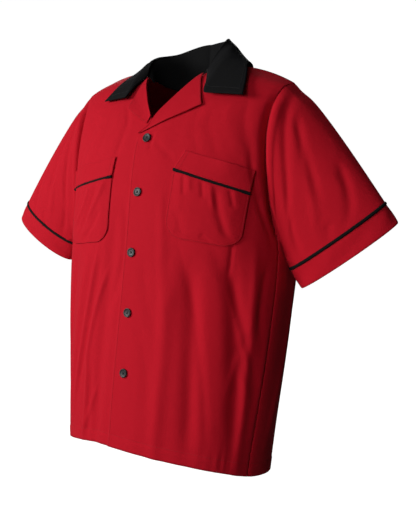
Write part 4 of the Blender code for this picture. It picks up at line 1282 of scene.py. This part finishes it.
@dataclass
class Pocket:
    """One patch pocket: a gathered bag with round corners, raised piping and a slanting band."""

    side: Side
    finishes: Finishes
    corner: float = 0.028
    lift: float = STANDOFF + LAID_LIFT
    margin: float = 0.0022
    columns: int = 96
    side_rows: int = 44
    corner_rows: int = 30
    band_rows: int = 34
    piping_rows: int = 9
    fullness: float = 0.0030   # how far the bag stands out below its mouth
    gape: float = 0.0042       # how far the band stands open at most

    def laid(self, spots: Array, height: Array) -> Cloth:
        """Cloth over a grid of spots on the front, raised by height."""
        cloth = Cloth(front_points_at(self.side, spots[..., 0], spots[..., 1], self.lift + height))
        if cloth.normals[0, 0, 1] > 0:
            cloth.outward = -1
        return cloth

    def build(self) -> None:
        """Build the bag, the piping and the band, and sew them on."""
        cut, word = POCKETS[self.side], self.side.word
        mouth_in, mouth_out = np.array(cut.mouth_in), np.array(cut.mouth_out)
        bottom_in, bottom_out = np.array(cut.bottom_in), np.array(cut.bottom_out)
        depth = float(np.linalg.norm(bottom_in - mouth_in))
        width = float(np.linalg.norm(bottom_out - bottom_in))
        down = unit(bottom_in - mouth_in)
        gap = PIPING_WIDTH / 2
        thread = Thread(self.finishes.red_thread, "red_cloth")

        straight = np.linspace(0, 1 - self.corner / depth, self.side_rows)
        bend = np.radians(np.linspace(2, 90, self.corner_rows))
        levels = np.concatenate([straight, 1 - self.corner / depth * (1 - np.sin(bend))])[:, None]
        drawn_in = self.corner / width * (1 - np.cos(bend))
        inset = np.concatenate([np.zeros(self.side_rows), drawn_in])[:, None]
        across = np.linspace(0, 1, self.columns)[None, :]
        columns = inset + (1 - 2 * inset) * across
        top = blend(mouth_in + down * gap, mouth_out + down * gap, columns)
        bottom = blend(bottom_in, bottom_out, columns)
        spots = top + (bottom - top) * levels[..., None]
        to_edge = np.minimum(np.minimum(across, 1 - across) * width, (1 - levels) * depth)
        full = self.fullness * smoothstep(0.0, 0.022, to_edge) * (1 - 0.5 * levels)
        rim = -0.0003 * np.exp(-((to_edge - self.margin) / 0.001) ** 2)
        folds = crease_height(POCKET_CREASES[self.side], columns * width, -levels * depth)
        folds = folds * smoothstep(0.0, 0.006, to_edge)
        pucker = seam_pucker(to_edge, columns * width + levels, 0.0003)
        bag = self.laid(spots, full + rim + folds + pucker)
        piece = bag.build(f"{word}_pocket_cloth", self.finishes.red, SHELL)
        declare(piece, bag, "red_cloth", f"{word}_pocket")
        sides = np.linspace(1, len(levels) - 3, 160)
        left, right = 1.7, self.columns - 2.7
        thread.sew(f"{word}_pocket_stitches", [
            bag.line(sides, np.full(160, left), STITCH_LIFT),
            bag.line(sides, np.full(160, right), STITCH_LIFT),
            bag.line(np.full(120, len(levels) - 3.0), np.linspace(left, right, 120), STITCH_LIFT)])

        t = np.linspace(1, -1, self.piping_rows)[:, None]
        row = blend(mouth_in, mouth_out, across)
        rounded = PIPING_WIDTH / 2 * np.sqrt(1 - t**2) + 0.0006
        piping = self.laid(row + down * t[..., None] * (gap + PIPING_SPREAD), rounded + 0.0 * across)
        piece = piping.build(f"{word}_pocket_piping_cord", self.finishes.black, DOUBLE_SHELL)
        declare(piece, piping, "black_cloth", f"{word}_pocket_piping")

        share = np.linspace(0, 1, self.band_rows)[:, None]
        lower = blend(mouth_in - down * gap, mouth_out - down * gap, across)
        upper = blend(cut.top_in, cut.top_out, across)
        gape = self.gape * np.exp(-((across - 0.66) / 0.22) ** 2) * (1 - share) ** 1.5
        stand = 0.0010 + gape - 0.0006 * smoothstep(0.94, 1.0, share)
        band = self.laid(blend(upper, lower, share), stand)
        piece = band.build(f"{word}_pocket_band_cloth", self.finishes.red, DOUBLE_SHELL)
        declare(piece, band, "red_cloth", f"{word}_pocket_band")
        sides = np.linspace(1, self.band_rows - 2, 40)
        runs = [band.line(sides, np.full(40, column), STITCH_LIFT)
                for column in (1.8, 6.6, self.columns - 2.8)]
        runs.append(band.line(np.full(120, self.band_rows - 2.6),
                              np.linspace(2, self.columns - 3, 120), STITCH_LIFT))
        thread.sew(f"{word}_pocket_band_stitches", runs)


# ------------------------------------------------------------------ buttons
class Turned(NamedTuple):
    """A ring of a button's turned profile, as shares of its radius and depth."""

    radius: float
    rise: float


BUTTON_PROFILE = (
    Turned(0.02, 0.00), Turned(0.70, 0.00), Turned(0.90, 0.10), Turned(0.98, 0.32), Turned(1.00, 0.58),
    Turned(0.985, 0.80), Turned(0.94, 0.94), Turned(0.87, 1.00), Turned(0.80, 0.97), Turned(0.74, 0.86),
    Turned(0.68, 0.74), Turned(0.60, 0.68), Turned(0.42, 0.65), Turned(0.20, 0.63), Turned(0.02, 0.62),
)


@dataclass
class Buttons:
    """Five buttons with raised rims, each with a cross of thread; their holes aren't cut here."""

    finishes: Finishes
    radius: float = 0.0076
    depth: float = 0.0028
    hole_offset: float = 0.00125   # from the button's two middle lines to where a hole would be
    thread_radius: float = 0.00042
    thread_rings: int = 13
    thread_sides: int = 8
    sides: int = 48

    def seat(self, height: float) -> tuple[Array, Array, Array, Array]:
        """Where a button sits: its spot, and its normal, up and right directions."""
        near = np.array([[0, 0], [-0.01, 0], [0.01, 0], [0, -0.01], [0, 0.01]])
        spot, west, east, below, above = front_points_at(Side.LEFT, near[:, 0], height + near[:, 1], SEAM)
        normal = unit(np.cross(east - west, above - below))
        up = unit(np.array((0, 0, 1.0)) - normal * normal[2])
        return spot, normal, up, np.cross(up, normal)

    def build(self) -> None:
        """Build every button's disc and its thread."""
        for number, height in enumerate(BUTTON_HEIGHTS, start=1):
            spot, normal, up, right = self.seat(height)
            turn = np.linspace(0, 2 * math.pi, self.sides, endpoint=False)
            circle = np.cos(turn)[:, None] * right + np.sin(turn)[:, None] * up
            profile = np.array(BUTTON_PROFILE)
            rings = (spot + circle[None] * (profile[:, 0] * self.radius)[:, None, None]
                     + normal * (profile[:, 1] * self.depth)[:, None, None])
            index = np.arange(rings[..., 0].size).reshape(rings.shape[:2])
            faces = quads(wrapped(index)).tolist()
            faces += [index[0, ::-1].tolist(), index[-1].tolist()]
            mesh = bpy.data.meshes.new(f"button_{number}_disc")
            mesh.from_pydata(rings.reshape(-1, 3), [], faces)
            mesh.shade_smooth()
            piece = add_piece(f"button_{number}_disc", mesh, self.finishes.resin)
            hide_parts(f"button_{number}")
            self.sew(number, spot, normal, up, right)
            log.info("button %d seated", number)

    def sew(self, number: int, spot: Array, normal: Array, up: Array, right: Array) -> None:
        """Two crossed bars of thread, arched a little off the dished face.

        Each bar is a flattened tube whose middle line rises as 1 - t^2 between its ends.
        """
        t = np.linspace(-1, 1, self.thread_rings)
        around = np.linspace(0, 2 * math.pi, self.thread_sides, endpoint=False)
        size = self.thread_rings * self.thread_sides
        points, faces = [], []
        for count, sign in enumerate((1, -1)):
            reach = (right + sign * up) * self.hole_offset * 1.25
            centre = (spot + normal * self.depth * 0.62 + t[:, None] * reach
                      + normal * ((1 - t**2) * 0.0007 + 0.0001)[:, None])
            way = unit(np.gradient(centre, axis=0))
            aside = unit(np.cross(way, normal))
            over = np.cross(aside, way)
            ring = (np.cos(around)[None, :, None] * aside[:, None]
                    + np.sin(around)[None, :, None] * over[:, None] * 0.7)
            tube = centre[:, None] + self.thread_radius * 1.5 * ring
            index = np.arange(size).reshape(self.thread_rings, self.thread_sides) + count * size
            points.append(tube.reshape(-1, 3))
            faces += quads(wrapped(index)).tolist()
            faces += [index[0, ::-1].tolist(), index[-1].tolist()]
        mesh = bpy.data.meshes.new(f"button_{number}_thread")
        mesh.from_pydata(np.concatenate(points), [], faces)
        mesh.shade_smooth()
        piece = add_piece(f"button_{number}_thread", mesh, self.finishes.black_thread)


# ------------------------------------------------------------------ studio
def bearing(azimuth: float, elevation: float) -> Array:
    """The direction towards a bearing in radians, azimuth from the front to the wearer's left."""
    flat = math.cos(elevation)
    return np.array((math.sin(azimuth) * flat, -math.cos(azimuth) * flat, math.sin(elevation)))


def place(item: bpy.types.Object, right: Array, up: Array, back: Array, spot: Array) -> None:
    """Put a camera or a lamp at a spot, turned to look along minus back, and in the scene."""
    matrix = np.eye(4)
    matrix[:3, 0], matrix[:3, 1], matrix[:3, 2], matrix[:3, 3] = right, up, back, spot
    item.matrix_world = Matrix(matrix.tolist())
    bpy.context.scene.collection.objects.link(item)


@dataclass
class Studio:
    """A plain pale floor and backdrop, soft light from the wearer's right front, and the camera."""

    azimuth: float = math.radians(31.7)
    elevation: float = math.radians(3.9)
    roll: float = math.radians(1.5)
    distance: float = 1.31
    focal_mm: float = 49.7
    aim_aside: float = 0.044
    aim_height: float = -0.341
    floor_height: float = -0.76
    floor_radius: float = 6.0
    floor_rings: int = 60
    floor_sides: int = 96

    def axes(self) -> tuple[Array, Array, Array]:
        """The camera's right, up and back directions."""
        back, level = bearing(self.azimuth, self.elevation), self.level()
        upright = np.cross(back, level)
        right = math.cos(self.roll) * level + math.sin(self.roll) * upright
        return right, -math.sin(self.roll) * level + math.cos(self.roll) * upright, back

    def level(self) -> Array:
        """The level direction to the right of the camera's view."""
        return np.array((math.cos(self.azimuth), math.sin(self.azimuth), 0.0))

    def camera(self) -> None:
        """Place the camera."""
        right, up, back = self.axes()
        spot = self.level() * self.aim_aside + np.array((0, 0, self.aim_height)) + back * self.distance
        data = bpy.data.cameras.new("camera")
        data.lens = self.focal_mm
        data.sensor_fit = "AUTO"
        data.sensor_width = 36.0
        item = bpy.data.objects.new("camera", data)
        place(item, right, up, back, spot)
        bpy.context.scene.camera = item

    def lamp(self, name: str, azimuth: float, elevation: float, distance: float, size: float,
             power: float) -> None:
        """A round area lamp that looks at the shirt's middle from a bearing in degrees."""
        way = bearing(math.radians(azimuth), math.radians(elevation))
        aside = unit(np.cross((0, 0, 1), way))
        data = bpy.data.lights.new(name, "AREA")
        data.shape = "DISK"
        data.size = size
        data.energy = power
        place(bpy.data.objects.new(name, data), aside, np.cross(way, aside), way,
              np.array((0, 0, -0.3)) + way * distance)

    def stage(self) -> None:
        """A floor that bends up into a round wall, far out, both white where the camera sees them.

        The radius grows evenly to the floor's edge, a quarter turn bends the surface up from
        there, and the wall's last stretch goes straight up.
        """
        t = np.linspace(0, 1, self.floor_rings)
        bend = (t - 0.6) / 0.4 * math.pi / 2
        radius = np.where(t < 0.6, t / 0.6 * self.floor_radius, self.floor_radius + 2.0 * np.sin(bend))
        rise = np.where(t < 0.6, 0.0, 2.0 * (1 - np.cos(bend)))
        rise = rise + smoothstep(0.9, 1.0, t) * 6.0
        turn = np.linspace(0, 2 * math.pi, self.floor_sides + 1)[:-1]
        shape = (self.floor_rings, self.floor_sides)
        grid = np.stack([radius[:, None] * np.cos(turn), radius[:, None] * np.sin(turn),
                         np.broadcast_to(rise[:, None] + self.floor_height, shape)], axis=-1)
        index = np.arange(self.floor_rings * self.floor_sides).reshape(shape)
        mesh = bpy.data.meshes.new("floor")
        mesh.from_pydata(grid.reshape(-1, 3), [], quads(wrapped(index)))
        mesh.shade_smooth()
        material = bpy.data.materials.new("pale_floor")
        material.use_nodes = True
        shader = material.node_tree.nodes["Principled BSDF"]
        shader.inputs["Base Color"].default_value = (0.22, 0.22, 0.22, 1.0)
        shader.inputs["Roughness"].default_value = 1.0
        shader.inputs["Specular IOR Level"].default_value = 0.0
        shader.inputs["Emission Color"].default_value = (1.0, 1.0, 1.0, 1.0)
        glow = material.node_tree.nodes.new("ShaderNodeLightPath")
        scale = material.node_tree.nodes.new("ShaderNodeMath")
        scale.operation = "MULTIPLY"
        scale.inputs[1].default_value = 1.0
        material.node_tree.links.new(glow.outputs["Is Camera Ray"], scale.inputs[0])
        material.node_tree.links.new(scale.outputs[0], shader.inputs["Emission Strength"])
        mesh.materials.append(material)
        item = bpy.data.objects.new("floor", mesh)
        bpy.context.scene.collection.objects.link(item)

    def build(self) -> None:
        """Set the surroundings, the lamps and the camera."""
        world = bpy.data.worlds.new("pale_room")
        world.use_nodes = True
        world.node_tree.nodes["Background"].inputs["Color"].default_value = (1.0, 1.0, 1.0, 1.0)
        world.node_tree.nodes["Background"].inputs["Strength"].default_value = 0.01
        bpy.context.scene.world = world
        bpy.context.scene.view_settings.view_transform = "Standard"
        self.stage()
        self.lamp("key", -40.0, 14.0, 2.6, 1.0, 58.0)
        self.lamp("top", 0.0, 60.0, 2.4, 1.2, 4.0)
        self.lamp("fill", 4.0, 6.0, 3.0, 1.0, 26.0)
        self.lamp("back", 214.0, 24.0, 2.8, 1.6, 40.0)
        self.camera()


def main() -> None:
    """Build every piece in order, then the studio."""
    logging.basicConfig(level=logging.INFO, format="%(name)s: %(message)s")
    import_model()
    finishes = Finishes()
    body = Body(finishes)
    body.build()
    for side in Side:
        Sleeve(side, body.plain_ring(side), body.ring(side), finishes).build()
        Lapel(side, finishes).build()
        Pocket(side, finishes).build()
    Collar(finishes).build()
    Buttons(finishes).build()
    Studio().build()


if __name__ == "__main__":
    main()
